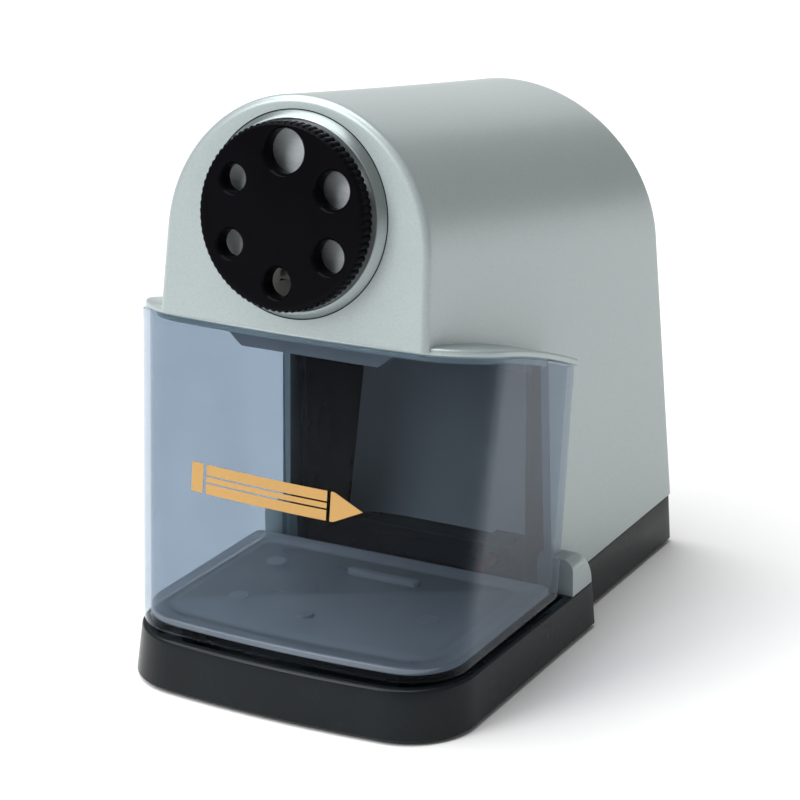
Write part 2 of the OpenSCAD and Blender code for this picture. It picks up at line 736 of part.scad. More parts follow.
module tray_solid(inset, z0, z1) {
    k = 1.2 / tray_h;
    hull() {
        translate([0, 0, z0]) linear_extrude(eps)
            polygon(u_pts(tray_w - inset - k * z0, base_front + inset + (k + 0.06) * z0, bow, tray_rc - inset,
                          tray_end - inset));
        translate([0, 0, z1 - eps]) linear_extrude(eps)
            polygon(u_pts(tray_w - inset - k * z1, base_front + inset + (k + 0.06) * z1, bow, tray_rc - inset,
                          tray_end - inset));
    }
}
module rear_solid(inset, z0, z1) {
    s = (rear_w - rear_top_w) / tray_h;
    y0 = bay_y - 6;
    y1 = body_d / 2 - inset;
    hull() for (z = [z0, z1 - eps])
        translate([0, 0, z]) linear_extrude(eps)
            polygon([[-rear_w + inset + s * z, y0], [rear_w - inset - s * z, y0],
                     [rear_w - inset - s * z, y1 - 3], [rear_w - inset - s * z - 3, y1 - 0.02 * z],
                     [-rear_w + inset + s * z + 3, y1 - 0.02 * z], [-rear_w + inset + s * z, y1 - 3]]);
}
module base_tray() {
    color([0.06, 0.06, 0.065]) stand() difference() {
        union() {
            intersection() {
                tray_solid(0, 0, tray_h);
                translate([-80, base_front - 5, -1]) rotate([-0.7, 0, 0]) cube([160, 200, tray_h + 1 + 0.3]);
            }
            difference() {
                rear_solid(0, 0, part_z + part_rise);
                rear_top_cut();
            }
        }
        // recess under the bin
        difference() {
            tray_solid(3, tray_floor_z, tray_h + 3);
            translate([-80, bay_y - 1, 0]) cube([160, 90, 40]);
        }
        // well inside the housing wall
        difference() {
            rear_solid(wall + 2.6, deck_z, 40);
            translate([-80, base_front, 0]) cube([160, bay_y + 1 - base_front, 60]);
        }
        // hollow underside
        tray_solid(2.6, -1, tray_floor_z - 2.4);
        rear_solid(2.6, -1, deck_z - 2.4);
        for (p = screws)
            translate([p[0], p[1], 0]) cylinder(h = 30, r = 1.6);
    }
    // slides for the bin and screw pillars
    color([0.06, 0.06, 0.065]) stand() {
        for (s = [-1, 1])
            translate([s * 34 - 2, base_front + 12, tray_floor_z - eps])
                cube([4, bay_y - base_front - 24, bin_z - gap - tray_floor_z]);
        for (p = screws) difference() {
            translate([p[0], p[1], 2.4]) cylinder(h = (p[1] > tray_end ? deck_z : tray_floor_z) - 4, r = 4);
            translate([p[0], p[1], 0]) cylinder(h = 30, r = 1.6);
        }
    }
}
module rear_top_cut() {
    s = part_rise / (body_d / 2 - bay_y);
    translate([-80, 0, 0]) rotate([90, 0, 90]) linear_extrude(160)
        polygon([[bay_y - 20, part_z - 1.2 + eps], [bay_y, part_z - 0.05], [body_d / 2 + 9, part_z + part_rise + 9 * s],
                 [body_d / 2 + 9, 60], [bay_y - 20, 60]]);
}

module base_plate() {
    color([0.35, 0.36, 0.37]) stand() difference() {
        union() {
            tray_solid(3, 0.6, 2.2);
            rear_solid(3, 0.6, 2.2);
        }
        for (p = screws)
            translate([p[0], p[1], -1]) cylinder(h = 30, r = 1.6);
    }
}

module base_screws() {
    color([0.7, 0.7, 0.72]) stand() for (p = screws) translate([p[0], p[1], 0]) {
        translate([0, 0, -0.6]) cylinder(h = 1.2, r = 2.8);
        cylinder(h = part_z + 7, r = 1.25);
    }
}

module rubber_feet() {
    color([0.1, 0.1, 0.1]) for (s = [-1, 1]) for (y = foot_y)
        translate([s * (y < 0 ? foot_x : foot_x - 6), y, 0]) cylinder(h = foot_h + 0.6, r = 6);
}

module bin_hull(inset, z0, z1) {
    k = (bin_top_w - bin_low_w) / (lip_z - bin_z);
    ke = (bin_end_top - bin_end) / (lip_z - bin_z);
    hull() for (z = [z0, z1])
        translate([0, 0, z]) linear_extrude(eps)
            polygon(u_pts(bin_low_w - inset + k * (z - bin_z), fy(z) + inset, bow, bin_rc - inset,
                          bin_end - inset + ke * (z - bin_z)));
}
module shavings_bin() {
    color([0.55, 0.62, 0.72, 0.4]) stand() difference() {
        bin_hull(0, bin_z, lip_z + 2);
        bin_hull(bin_wall, bin_floor_z + bin_floor_t, lip_z + 6);
        bin_hull(bin_wall, bin_z - 2, bin_floor_z);
        difference() {
            translate([-80, base_front - 5, bin_z]) cube([160, bay_y - base_front + 5, 120]);
            below_lip(-gap, base_front - 6, bay_y + 1, 0);
        }
        // open back above the low wall, between the two flanges
        translate([-bin_low_w + 8, bin_end - 10, bin_back_h]) cube([2 * bin_low_w - 16, 20, 120]);
    }
    // finger bar and stiffening frame on the floor
    color([0.55, 0.62, 0.72, 0.4]) stand() {
        translate([-12, bin_end - 22, bin_floor_z + bin_floor_t - eps]) cube([24, 4, 1.6]);
        for (s = [-1, 1])
            translate([s * 41 - 0.6, bin_end - 62, bin_floor_z + bin_floor_t - eps]) cube([1.2, 50, 0.8]);
        translate([-41, bin_end - 12, bin_floor_z + bin_floor_t - eps]) cube([82, 1.2, 0.8]);
    }
}

housing();
dial_bezel();
shutter_plate();
selector_dial();
dial_screw();
detent_ball();
detent_spring();
pencil_guide();
front_plate();
mid_plate();
rear_plate();
frame_pillars();
frame_screws();
ring_gear();
cutter_carrier();
helical_cutter();
cutter_gear();
cutter_pin();
carrier_gear();
carrier_bushes();
cutter_shroud();
reduction_gear();
reduction_shaft();
motor_can();
motor_end_cap();
motor_armature();
motor_shaft();
motor_pinion();
motor_screws();
start_lever();
lever_pin();
start_switch();
start_plunger();
bin_switch();
bin_plunger();
bay_liner();
transformer();
power_board();
cord_gland();
base_tray();
base_plate();
base_screws();
rubber_feet();
shavings_bin();
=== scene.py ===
"""Looks of an electric desk pencil sharpener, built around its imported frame.

Lengths in the classes are millimetres in the part's own frame: +X right, +Y to the back, +Z up,
with the origin under the middle of the outline, on the plane of the feet.
"""

import json
import logging
import math
from dataclasses import dataclass, field
from enum import Enum
from typing import Callable, Optional, Sequence

import bmesh
import bpy
import numpy as np
from mathutils import Matrix, Vector

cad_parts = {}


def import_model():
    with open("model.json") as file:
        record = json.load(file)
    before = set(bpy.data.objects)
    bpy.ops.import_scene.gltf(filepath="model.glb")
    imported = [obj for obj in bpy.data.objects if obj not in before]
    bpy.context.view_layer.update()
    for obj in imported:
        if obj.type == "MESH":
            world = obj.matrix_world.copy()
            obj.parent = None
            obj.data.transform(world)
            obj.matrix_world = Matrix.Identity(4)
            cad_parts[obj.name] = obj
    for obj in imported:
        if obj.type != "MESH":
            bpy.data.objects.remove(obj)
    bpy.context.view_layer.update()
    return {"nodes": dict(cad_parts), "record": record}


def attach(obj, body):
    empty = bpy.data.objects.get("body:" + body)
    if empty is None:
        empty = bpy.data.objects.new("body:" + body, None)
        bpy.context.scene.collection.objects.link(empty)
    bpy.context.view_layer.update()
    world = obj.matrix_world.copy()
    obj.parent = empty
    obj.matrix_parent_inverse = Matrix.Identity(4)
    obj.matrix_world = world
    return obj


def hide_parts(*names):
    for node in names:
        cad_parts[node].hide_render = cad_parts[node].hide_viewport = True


Array = np.ndarray
Tree = bpy.types.NodeTree
Socket = bpy.types.NodeSocket
Piece = bpy.types.Object
Material = bpy.types.Material
Triple = tuple[float, float, float]
MM = 0.001
MIRROR = np.array([-1.0, 1.0, 1.0])
NOISE_LOW, NOISE_HIGH = 0.3, 0.7
SCHLICK_POWER = 5.0
SMOOTH_BODY, SMOOTH_NODE = 40, 32
LOG = logging.getLogger("sharpener")
# materials made so far, by name: the frame brings in materials of the same names
MADE: dict[str, Material] = {}


# ---------------------------------------------------------------- surfaces


@dataclass
class Surface:
    """Points and faces of one or more patches, in millimetres."""

    points: Array = field(default_factory=lambda: np.zeros((0, 3)))
    faces: list = field(default_factory=list)

    def add(self, points: Array, faces: Sequence[Sequence[int]]) -> None:
        """Adds a patch.

        Args:
            points: the patch's points, one row each.
            faces: its faces, counted from its own first point.
        """
        start = len(self.points)
        self.points = np.vstack([self.points, points])
        self.faces += [[start + i for i in f] for f in faces]

    def grid(self, pts: Array, wrap_u: bool = False, wrap_v: bool = False, flip: bool = False) -> None:
        """Adds a grid of quads: point (i, j) joins (i+1, j), (i+1, j+1) and (i, j+1).

        Args:
            pts: array of points, first index u, second index v.
            wrap_u: joins the last row in u to the first.
            wrap_v: joins the last column in v to the first.
            flip: turns the faces over.
        """
        nu, nv = pts.shape[:2]
        iu = np.arange(nu if wrap_u else nu - 1)
        iv = np.arange(nv if wrap_v else nv - 1)
        a, b = np.meshgrid(iu, iv, indexing="ij")
        a2, b2 = (a + 1) % nu, (b + 1) % nv
        quads = np.stack([a * nv + b, a2 * nv + b, a2 * nv + b2, a * nv + b2], -1).reshape(-1, 4)
        if flip:
            quads = quads[:, ::-1]
        self.add(pts.reshape(-1, 3), quads.tolist())

    def cap(self, loop: Array, flip: bool = False) -> None:
        """Closes a loop of points with one flat face.

        Args:
            loop: the loop's points in order.
            flip: turns the face over.
        """
        order = list(range(len(loop)))
        self.add(loop, [order[::-1] if flip else order])

    def tube(self, loops: Sequence[Array]) -> None:
        """Carries closed loops of points into one skin and closes both its ends.

        Args:
            loops: the loops in order, all with the same number of points.
        """
        rows = np.stack(loops)
        self.grid(rows, wrap_v=True)
        self.cap(rows[0], flip=True)
        self.cap(rows[-1])

    def plate(self, front: Array, back: Array) -> None:
        """Joins two grids of the same shape into a plate, with a strip along each of the four edges.

        Args:
            front: points of one side.
            back: points of the other side.
        """
        self.grid(front)
        self.grid(back, flip=True)
        for k in (0, -1):
            self.grid(np.stack([front[k], back[k]]))
            self.grid(np.stack([front[:, k], back[:, k]]))

    def join(self, other: "Surface") -> None:
        """Adds all of another surface."""
        self.add(other.points, other.faces)

    def moved(self, fn: Callable[[Array], Array]) -> "Surface":
        """A copy whose points went through fn."""
        return Surface(fn(self.points), list(self.faces))

    def piece(self, name: str, smooth_deg: float = 35.0, weld: float = 1e-4) -> Piece:
        """Makes the object, welded, with outward faces and smooth shading below an angle.

        Args:
            name: the object's name.
            smooth_deg: edges sharper than this stay sharp.
            weld: points closer than this, in millimetres, become one.

        Returns:
            The object at the origin, in metres.
        """
        mesh = bpy.data.meshes.new(name)
        mesh.from_pydata((self.points * MM).tolist(), [], self.faces)
        obj = bpy.data.objects.new(name, mesh)
        bpy.context.scene.collection.objects.link(obj)
        clean(obj, weld * MM)
        shade(obj, smooth_deg)
        return obj


def clean(obj: Piece, weld: float) -> None:
    """Welds near points, drops faces of no area and turns all faces outwards.

    Args:
        obj: the mesh object.
        weld: distance in metres.
    """
    bm = bmesh.new()
    bm.from_mesh(obj.data)
    bmesh.ops.remove_doubles(bm, verts=bm.verts, dist=weld)
    bmesh.ops.dissolve_degenerate(bm, edges=bm.edges, dist=weld * 0.5)
    bmesh.ops.recalc_face_normals(bm, faces=bm.faces)
    bm.to_mesh(obj.data)
    bm.free()


def shade(obj: Piece, degrees: float) -> None:
    """Smooth shading where faces meet below an angle, in degrees."""
    obj.data.shade_smooth()
    obj.data.set_sharp_from_angle(angle=math.radians(degrees))


def settle(obj: Piece) -> Piece:
    """Replaces the mesh by what its modifiers make of it, and removes them."""
    deps = bpy.context.evaluated_depsgraph_get()
    deps.update()
    done = bpy.data.meshes.new_from_object(obj.evaluated_get(deps))
    obj.modifiers.clear()
    obj.data = done
    return obj


def shell(obj: Piece, thickness: float) -> None:
    """Gives an open surface a wall of that thickness in millimetres, grown inwards."""
    mod = obj.modifiers.new("wall", "SOLIDIFY")
    mod.thickness = thickness * MM
    mod.offset = -1
    mod.use_even_offset = True
    settle(obj)


def cut(obj: Piece, tool: Piece) -> None:
    """Takes the tool's volume out of obj and removes the tool."""
    mod = obj.modifiers.new("cut", "BOOLEAN")
    mod.operation = "DIFFERENCE"
    mod.solver = "EXACT"
    mod.object = tool
    settle(obj)
    bpy.data.objects.remove(tool)


def level(flat: Array, z: Array) -> Array:
    """Gives (x, y) points the height z, which is one number or one for each point."""
    return np.column_stack([flat, np.broadcast_to(z, len(flat))])


def rows_between(rows: Array, place: Array) -> Array:
    """Points between the rows of a grid, straight from one row to the next.

    Args:
        rows: the grid, row by column.
        place: for each column, which row, in rows and parts of a row.

    Returns:
        The points, in the shape of place.
    """
    i = np.clip(np.floor(place).astype(int), 0, len(rows) - 2)
    part = (place - i)[..., None]
    column = np.arange(rows.shape[1])
    return rows[i, column] * (1 - part) + rows[i + 1, column] * part


def arc(radius: float, start: float, end: float, steps: int) -> Array:
    """Points (r cos a, r sin a) for equally spaced angles in degrees, ends included."""
    a = np.radians(np.linspace(start, end, steps + 1))
    return np.stack([radius * np.cos(a), radius * np.sin(a)], -1)


def conic(a: Array, corner: Array, b: Array, t: float) -> Array:
    """A rounded corner: the rational quadratic curve from a to b that aims at the corner.

    The point is the weighted mean of a, corner and b with weights (1-t)^2, 1.414 t(1-t), t^2.
    """
    w = math.sqrt(0.5)
    k0, k1, k2 = (1 - t) ** 2, 2 * w * t * (1 - t), t * t
    return (k0 * a + k1 * corner + k2 * b) / (k0 + k1 + k2)


def revolve(profile: Array, steps: int) -> Array:
    """Turns a profile of (radius, y) points about the y axis: (r sin a, y, r cos a)."""
    a = np.linspace(0, 2 * math.pi, steps, endpoint=False)
    r, y = profile[:, 0][:, None], profile[:, 1][:, None]
    return np.stack([r * np.sin(a), y + 0 * a, r * np.cos(a)], -1)


# ---------------------------------------------------------------- materials


class Sum(Enum):
    """The sums that a finish does on its values."""

    PLUS = "ADD"
    TIMES = "MULTIPLY"
    POWER = "POWER"


@dataclass(frozen=True)
class Finish:
    """A procedural finish: base colour with a fine and a broad variation, roughness and bump."""

    name: str
    color: Triple
    metallic: float = 0.0
    roughness: float = 0.4
    rough_vary: float = 0.05
    tone: float = 0.06
    tone_scale: float = 60.0
    grain: float = 0.0
    grain_scale: float = 3000.0
    bump: float = 0.0
    bump_scale: float = 1500.0
    bump_depth: float = 0.00005
    coat: float = 0.0
    coat_rough: float = 0.05
    specular: float = 0.5
    stretch: Triple = (1.0, 1.0, 1.0)
    alpha: float = 1.0

    def build(self) -> Material:
        """Makes the material's node tree.

        Returns:
            The material, made once and reused by name.
        """
        if self.name in MADE:
            return MADE[self.name]
        mat = start_material(self.name)
        tree = mat.node_tree
        bsdf = tree.nodes["Principled BSDF"]
        bsdf.inputs["Metallic"].default_value = self.metallic
        bsdf.inputs["Alpha"].default_value = self.alpha
        bsdf.inputs["Coat Weight"].default_value = self.coat
        bsdf.inputs["Coat Roughness"].default_value = self.coat_rough
        bsdf.inputs["Specular IOR Level"].default_value = self.specular
        where = mapped(tree, self.stretch)
        broad = noise(tree, where, self.tone_scale, 4)
        value = spread(tree, broad, 1 - self.tone, 1 + self.tone)
        if self.grain:
            fleck = noise(tree, where, self.grain_scale, 1)
            value = math_node(tree, Sum.TIMES, value, spread(tree, fleck, 1 - self.grain, 1 + self.grain))
        tree.links.new(tinted(tree, self.color, value), bsdf.inputs["Base Color"])
        rough = spread(tree, broad, self.roughness - self.rough_vary, self.roughness + self.rough_vary)
        tree.links.new(rough, bsdf.inputs["Roughness"])
        if self.bump:
            relief = noise(tree, where, self.bump_scale, 2)
            tree.links.new(bumped(tree, relief, self.bump, self.bump_depth), bsdf.inputs["Normal"])
        return mat


def start_material(name: str) -> Material:
    """Makes a material with nodes and keeps it in MADE.

    Args:
        name: its name, which a material of the frame may have too.

    Returns:
        The new material.
    """
    mat = MADE[name] = bpy.data.materials.new(name)
    mat.use_nodes = True
    return mat


def tinted(tree: Tree, color: Triple, value: Socket) -> Socket:
    """A colour times a value.

    Args:
        tree: the material's nodes.
        color: the colour.
        value: the value's socket.

    Returns:
        The product's socket.
    """
    node = tree.nodes.new("ShaderNodeMix")
    node.data_type = "RGBA"
    node.blend_type = "MULTIPLY"
    node.inputs["Factor"].default_value = 1.0
    node.inputs["A"].default_value = (*color, 1)
    tree.links.new(value, node.inputs["B"])
    return node.outputs["Result"]


def mapped(tree: Tree, stretch: Triple = (1, 1, 1)) -> Socket:
    """Object coordinates, scaled on each axis.

    Args:
        tree: the material's nodes.
        stretch: the scale on x, y and z.

    Returns:
        The coordinates' socket.
    """
    coord = tree.nodes.new("ShaderNodeTexCoord")
    mapping = tree.nodes.new("ShaderNodeMapping")
    mapping.inputs["Scale"].default_value = stretch
    tree.links.new(coord.outputs["Object"], mapping.inputs["Vector"])
    return mapping.outputs["Vector"]


def noise(tree: Tree, where: Socket, scale: float, detail: float) -> Socket:
    """A noise texture's value.

    Args:
        tree: the material's nodes.
        where: the coordinates.
        scale: waves in a metre.
        detail: how many finer layers it has.

    Returns:
        The value's socket.
    """
    node = tree.nodes.new("ShaderNodeTexNoise")
    node.inputs["Scale"].default_value = scale
    node.inputs["Detail"].default_value = detail
    tree.links.new(where, node.inputs["Vector"])
    return node.outputs["Fac"]


def spread(tree: Tree, value: Socket, low: float, high: float) -> Socket:
    """Stretches a noise value evenly over a range.

    Args:
        tree: the material's nodes.
        value: the noise's socket.
        low: the result at NOISE_LOW.
        high: the result at NOISE_HIGH.

    Returns:
        The result's socket.
    """
    node = tree.nodes.new("ShaderNodeMapRange")
    limits = {"From Min": NOISE_LOW, "From Max": NOISE_HIGH, "To Min": low, "To Max": high}
    for key, number in limits.items():
        node.inputs[key].default_value = number
    tree.links.new(value, node.inputs["Value"])
    return node.outputs["Result"]


def math_node(tree: Tree, operation: Sum, a: object, b: object) -> Socket:
    """One sum of two values.

    Args:
        tree: the material's nodes.
        operation: which sum.
        a: a socket or a number.
        b: a socket or a number.

    Returns:
        The result's socket.
    """
    node = tree.nodes.new("ShaderNodeMath")
    node.operation = operation.value
    for socket, value in zip(node.inputs, (a, b)):
        if isinstance(value, Socket):
            tree.links.new(value, socket)
        else:
            socket.default_value = float(value)
    return node.outputs[0]


def bumped(tree: Tree, height: Socket, strength: float, depth: float) -> Socket:
    """A bump from a height value.

    Args:
        tree: the material's nodes.
        height: the height's socket.
        strength: how strongly it shows.
        depth: how deep it is, in metres.

    Returns:
        The bent normal's socket.
    """
    node = tree.nodes.new("ShaderNodeBump")
    node.inputs["Strength"].default_value = strength
    node.inputs["Distance"].default_value = depth
    tree.links.new(height, node.inputs["Height"])
    return node.outputs["Normal"]


@dataclass(frozen=True)
class SmokedPlastic:
    """Clear plastic with a smoke tint.

    Each face lets a tinted share straight through. The mirror's share grows at grazing angles
    by Schlick's rule: mirror + (1 - mirror) (1 - cosine)^5.
    """

    name: str = "smoke_clear"
    passes: Triple = (0.697, 0.742, 0.785)
    gloss: Triple = (0.9, 0.94, 1.0)
    mirror: float = 0.005
    roughness: float = 0.04
    tone: float = 0.015
    tone_scale: float = 35.0

    def build(self) -> Material:
        """Makes the material's node tree.

        Returns:
            The material, made once and reused by name.
        """
        if self.name in MADE:
            return MADE[self.name]
        mat = start_material(self.name)
        tree = mat.node_tree
        tree.nodes.clear()
        where = mapped(tree)
        broad = noise(tree, where, self.tone_scale, 3)
        clear = tree.nodes.new("ShaderNodeBsdfTransparent")
        value = spread(tree, broad, 1 - self.tone, 1 + self.tone)
        tree.links.new(tinted(tree, self.passes, value), clear.inputs["Color"])
        gloss = tree.nodes.new("ShaderNodeBsdfGlossy")
        gloss.inputs["Color"].default_value = (*self.gloss, 1)
        blur = spread(tree, broad, self.roughness * 0.6, self.roughness * 1.6)
        tree.links.new(blur, gloss.inputs["Roughness"])
        facing = tree.nodes.new("ShaderNodeLayerWeight")
        facing.inputs["Blend"].default_value = 0.5
        edge = math_node(tree, Sum.POWER, facing.outputs["Facing"], SCHLICK_POWER)
        rising = math_node(tree, Sum.TIMES, edge, 1 - self.mirror)
        share = math_node(tree, Sum.PLUS, rising, self.mirror)
        mix = tree.nodes.new("ShaderNodeMixShader")
        out = tree.nodes.new("ShaderNodeOutputMaterial")
        tree.links.new(share, mix.inputs[0])
        tree.links.new(clear.outputs[0], mix.inputs[1])
        tree.links.new(gloss.outputs[0], mix.inputs[2])
        tree.links.new(mix.outputs[0], out.inputs["Surface"])
        return mat


SILVER = Finish("silver_paint", (0.375, 0.432, 0.432), metallic=0.40, roughness=0.36, rough_vary=0.02, tone=0.015,
                tone_scale=40, grain=0.07, grain_scale=2600, bump=0.25, bump_scale=2200, bump_depth=2e-5,
                coat=0.15, coat_rough=0.2)
BLACK_GLOSS = Finish("black_gloss", (0.003, 0.003, 0.004), specular=0.03, roughness=0.16, rough_vary=0.04,
                     tone=0.1, bump=0.1, bump_scale=500, bump_depth=1e-5)
BLACK_SATIN = Finish("black_satin", (0.008, 0.0105, 0.012), specular=0.16, roughness=0.26, rough_vary=0.04,
                     tone=0.15, bump=0.3, bump_scale=2500, bump_depth=1e-5)
STEEL_PLATE = Finish("steel_plate", (0.42, 0.45, 0.46), metallic=0.5, roughness=0.45, tone=0.05, grain=0.1,
                     grain_scale=900, stretch=(1, 12, 12), bump=0.2, bump_scale=900)
BRIGHT_STEEL = Finish("bright_steel", (0.62, 0.62, 0.64), metallic=1.0, roughness=0.25, tone=0.04, bump=0.1)
ZINC_STEEL = Finish("zinc_steel", (0.26, 0.27, 0.285), metallic=0.8, roughness=0.4, tone=0.1, grain=0.05, bump=0.2)
GUIDE_WHITE = Finish("guide_white", (0.75, 0.75, 0.72), roughness=0.45, tone=0.03, bump=0.2)
SINTERED = Finish("sintered_brass", (0.6, 0.45, 0.2), metallic=0.9, roughness=0.5, grain=0.15, bump=0.4)
CAST_ZINC = Finish("cast_zinc", (0.42, 0.43, 0.45), metallic=0.8, roughness=0.5, grain=0.1, bump=0.5)
TOOL_STEEL = Finish("tool_steel", (0.4, 0.4, 0.42), metallic=1.0, roughness=0.3, grain=0.08, bump=0.2)
GEAR_NYLON = Finish("gear_nylon", (0.72, 0.68, 0.55), roughness=0.5, tone=0.04, bump=0.2)
CORE_STEEL = Finish("core_steel", (0.25, 0.22, 0.2), metallic=0.6, roughness=0.5, stretch=(1, 20, 1), grain=0.2,
                    grain_scale=400, bump=0.4)
RED_BUTTON = Finish("red_button", (0.55, 0.03, 0.02), roughness=0.3, tone=0.05)
GREY_LINER = Finish("grey_liner", (0.003, 0.004, 0.008), roughness=0.3, tone=0.08, specular=0.12)
# light grey of the bay plate: painted reflection of the bright front on the dark glossy back wall
PAINTED_REFLECTION_PANEL = Finish("painted_reflection_panel", (0.40, 0.41, 0.41), roughness=0.45, tone=0.05, tone_scale=25, specular=0.3,
                     bump=0.1, bump_scale=5000, bump_depth=1e-5)
BOARD_GREEN = Finish("board_green", (0.02, 0.1, 0.04), roughness=0.4, tone=0.15, grain=0.1)
BLACK_RUBBER = Finish("black_rubber", (0.02, 0.02, 0.02), roughness=0.7, tone=0.1, bump=0.5, bump_scale=2500)
RING_METAL = Finish("ring_metal", (0.26, 0.30, 0.30), metallic=0.85, roughness=0.32, tone=0.04, grain=0.05, bump=0.1,
                    bump_scale=2200, bump_depth=1e-5)
HAZY_SMOKE = Finish("hazy_smoke", (0.47, 0.48, 0.50), roughness=0.2, tone=0.05, tone_scale=40, alpha=0.6)
DARK_BROW = Finish("dark_brow", (0.16, 0.165, 0.18), roughness=0.5, tone=0.05, specular=0.3)
GOLD_PRINT = Finish("gold_print", (0.50, 0.29, 0.09), metallic=0.2, roughness=0.4, tone=0.04, grain=0.06)
PALE_FLOOR = Finish("pale_floor", (0.85, 0.85, 0.85), roughness=0.8, rough_vary=0.03, tone=0.004, tone_scale=3)
SMOKE = SmokedPlastic()

Look = Finish | SmokedPlastic
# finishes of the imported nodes, by the slot that the record gives them
FINISHES: dict[str, Look] = {f.name: f for f in (
    SILVER, BLACK_GLOSS, BLACK_SATIN, STEEL_PLATE, BRIGHT_STEEL, ZINC_STEEL, GUIDE_WHITE, SINTERED, CAST_ZINC,
    TOOL_STEEL, GEAR_NYLON, CORE_STEEL, RED_BUTTON, GREY_LINER, BOARD_GREEN, BLACK_RUBBER, SMOKE)}


def dress(obj: Piece, finish: Look) -> Piece:
    """Gives an object one finish in all its slots.

    Args:
        obj: the mesh object.
        finish: its finish.

    Returns:
        The same object.
    """
    mat = finish.build()
    if not obj.data.materials:
        obj.data.materials.append(mat)
    for i in range(len(obj.data.materials)):
        obj.data.materials[i] = mat
    return obj


# ---------------------------------------------------------------- shared outline


@dataclass
class Outline:
    """The leaning front, the sloping lip and the U-shaped plan that the housing, lip and bin share."""

    foot: float = 1.0
    body_d: float = 178.8
    tilt: float = 8.5
    rear_lean: float = 9.2
    lip_z: float = 108.6
    lip_drop: float = 19.7
    dial_z: float = 141.9
    bay_y: float = -1.0
    part_z: float = 14.4
    part_rise: float = 1.75

    @property
    def front_y0(self) -> float:
        """y of the front face's plane at the base."""
        return -self.body_d / 2 + 1.15

    @property
    def rear_y0(self) -> float:
        """y of the back face's plane at the base."""
        return self.body_d / 2 + 2.45

    def fy(self, z: Array) -> Array:
        """y of the front face at height z: front_y0 plus z times the tangent of the tilt."""
        return self.front_y0 + z * math.tan(math.radians(self.tilt))

    def ry(self, z: Array) -> Array:
        """y of the back face at height z: rear_y0 less z times the tangent of the lean."""
        return self.rear_y0 - z * math.tan(math.radians(self.rear_lean))

    def lip_at(self, y: Array) -> Array:
        """Height of the lip's seam: level at the front, then falling by 0.19(u - 4(1 - e^(-u/4))) + 0.0018u^2."""
        u = np.maximum(0, y - self.fy(self.lip_z))
        return self.lip_z - 0.19 * (u - 4 * (1 - np.exp(-u / 4))) - 0.0018 * u * u

    def part_at(self, y: Array) -> Array:
        """Height of the parting line, rising evenly from the bay to the back."""
        return self.part_z + self.part_rise * (y - self.bay_y) / (self.body_d / 2 - self.bay_y)

    def plan(self, w: float, yf: float, bow: float, rc: float, yend: float, n: int = 20) -> tuple[Array, Array]:
        """U-shaped plan line from the left back end round the front to the right back end.

        The front is the parabola y = yf + bow (x/xc)^2, the corners are arcs of radius rc that
        meet it with the same slope, and the sides run straight back.

        Args:
            w: half width.
            yf: y of the front at the middle.
            bow: how far the front curves back at its corners.
            rc: corner radius.
            yend: y of the two ends.
            n: points per stretch.

        Returns:
            Points (x, y) and outward normals.
        """
        xc = w - rc
        for _ in range(4):
            m = 2 * bow / xc
            xc = w - rc + rc * m / math.hypot(1, m)
        m = 2 * bow / xc
        cx, cy = w - rc, yf + bow + rc / math.hypot(1, m)
        side_y = np.linspace(yend, cy, n, endpoint=False)
        side = np.stack([np.full(n, w), side_y], -1)
        side_n = np.tile([1.0, 0.0], (n, 1))
        a = np.linspace(0, math.pi / 2 - math.atan(m), n, endpoint=False)
        turn_n = np.stack([np.cos(a), -np.sin(a)], -1)
        turn = np.array([cx, cy]) + rc * turn_n
        x = np.linspace(xc, 0, n + 1)
        front = np.stack([x, yf + bow * (x / xc) ** 2], -1)
        front_n = np.stack([2 * bow * x / xc**2, -np.ones_like(x)], -1)
        front_n /= np.linalg.norm(front_n, axis=1)[:, None]
        p = np.vstack([side, turn, front])
        q = np.vstack([side_n, turn_n, front_n])
        flip = np.array([-1.0, 1.0])
        return np.vstack([p * flip, p[-2::-1]]), np.vstack([q * flip, q[-2::-1]])

    def stand(self, pts: Array) -> Array:
        """Lifts points by the height of the feet."""
        return pts + np.array([0.0, 0.0, self.foot])

    def on_axis(self, pts: Array) -> Array:
        """Places points given along the dial axis: y inwards, z up along the front face."""
        t = math.radians(self.tilt)
        x, y, z = pts[..., 0], pts[..., 1], pts[..., 2]
        return np.stack([x, self.fy(self.dial_z) + y * math.cos(t) + z * math.sin(t),
                         self.dial_z + self.foot - y * math.sin(t) + z * math.cos(t)], -1)


# ---------------------------------------------------------------- housing


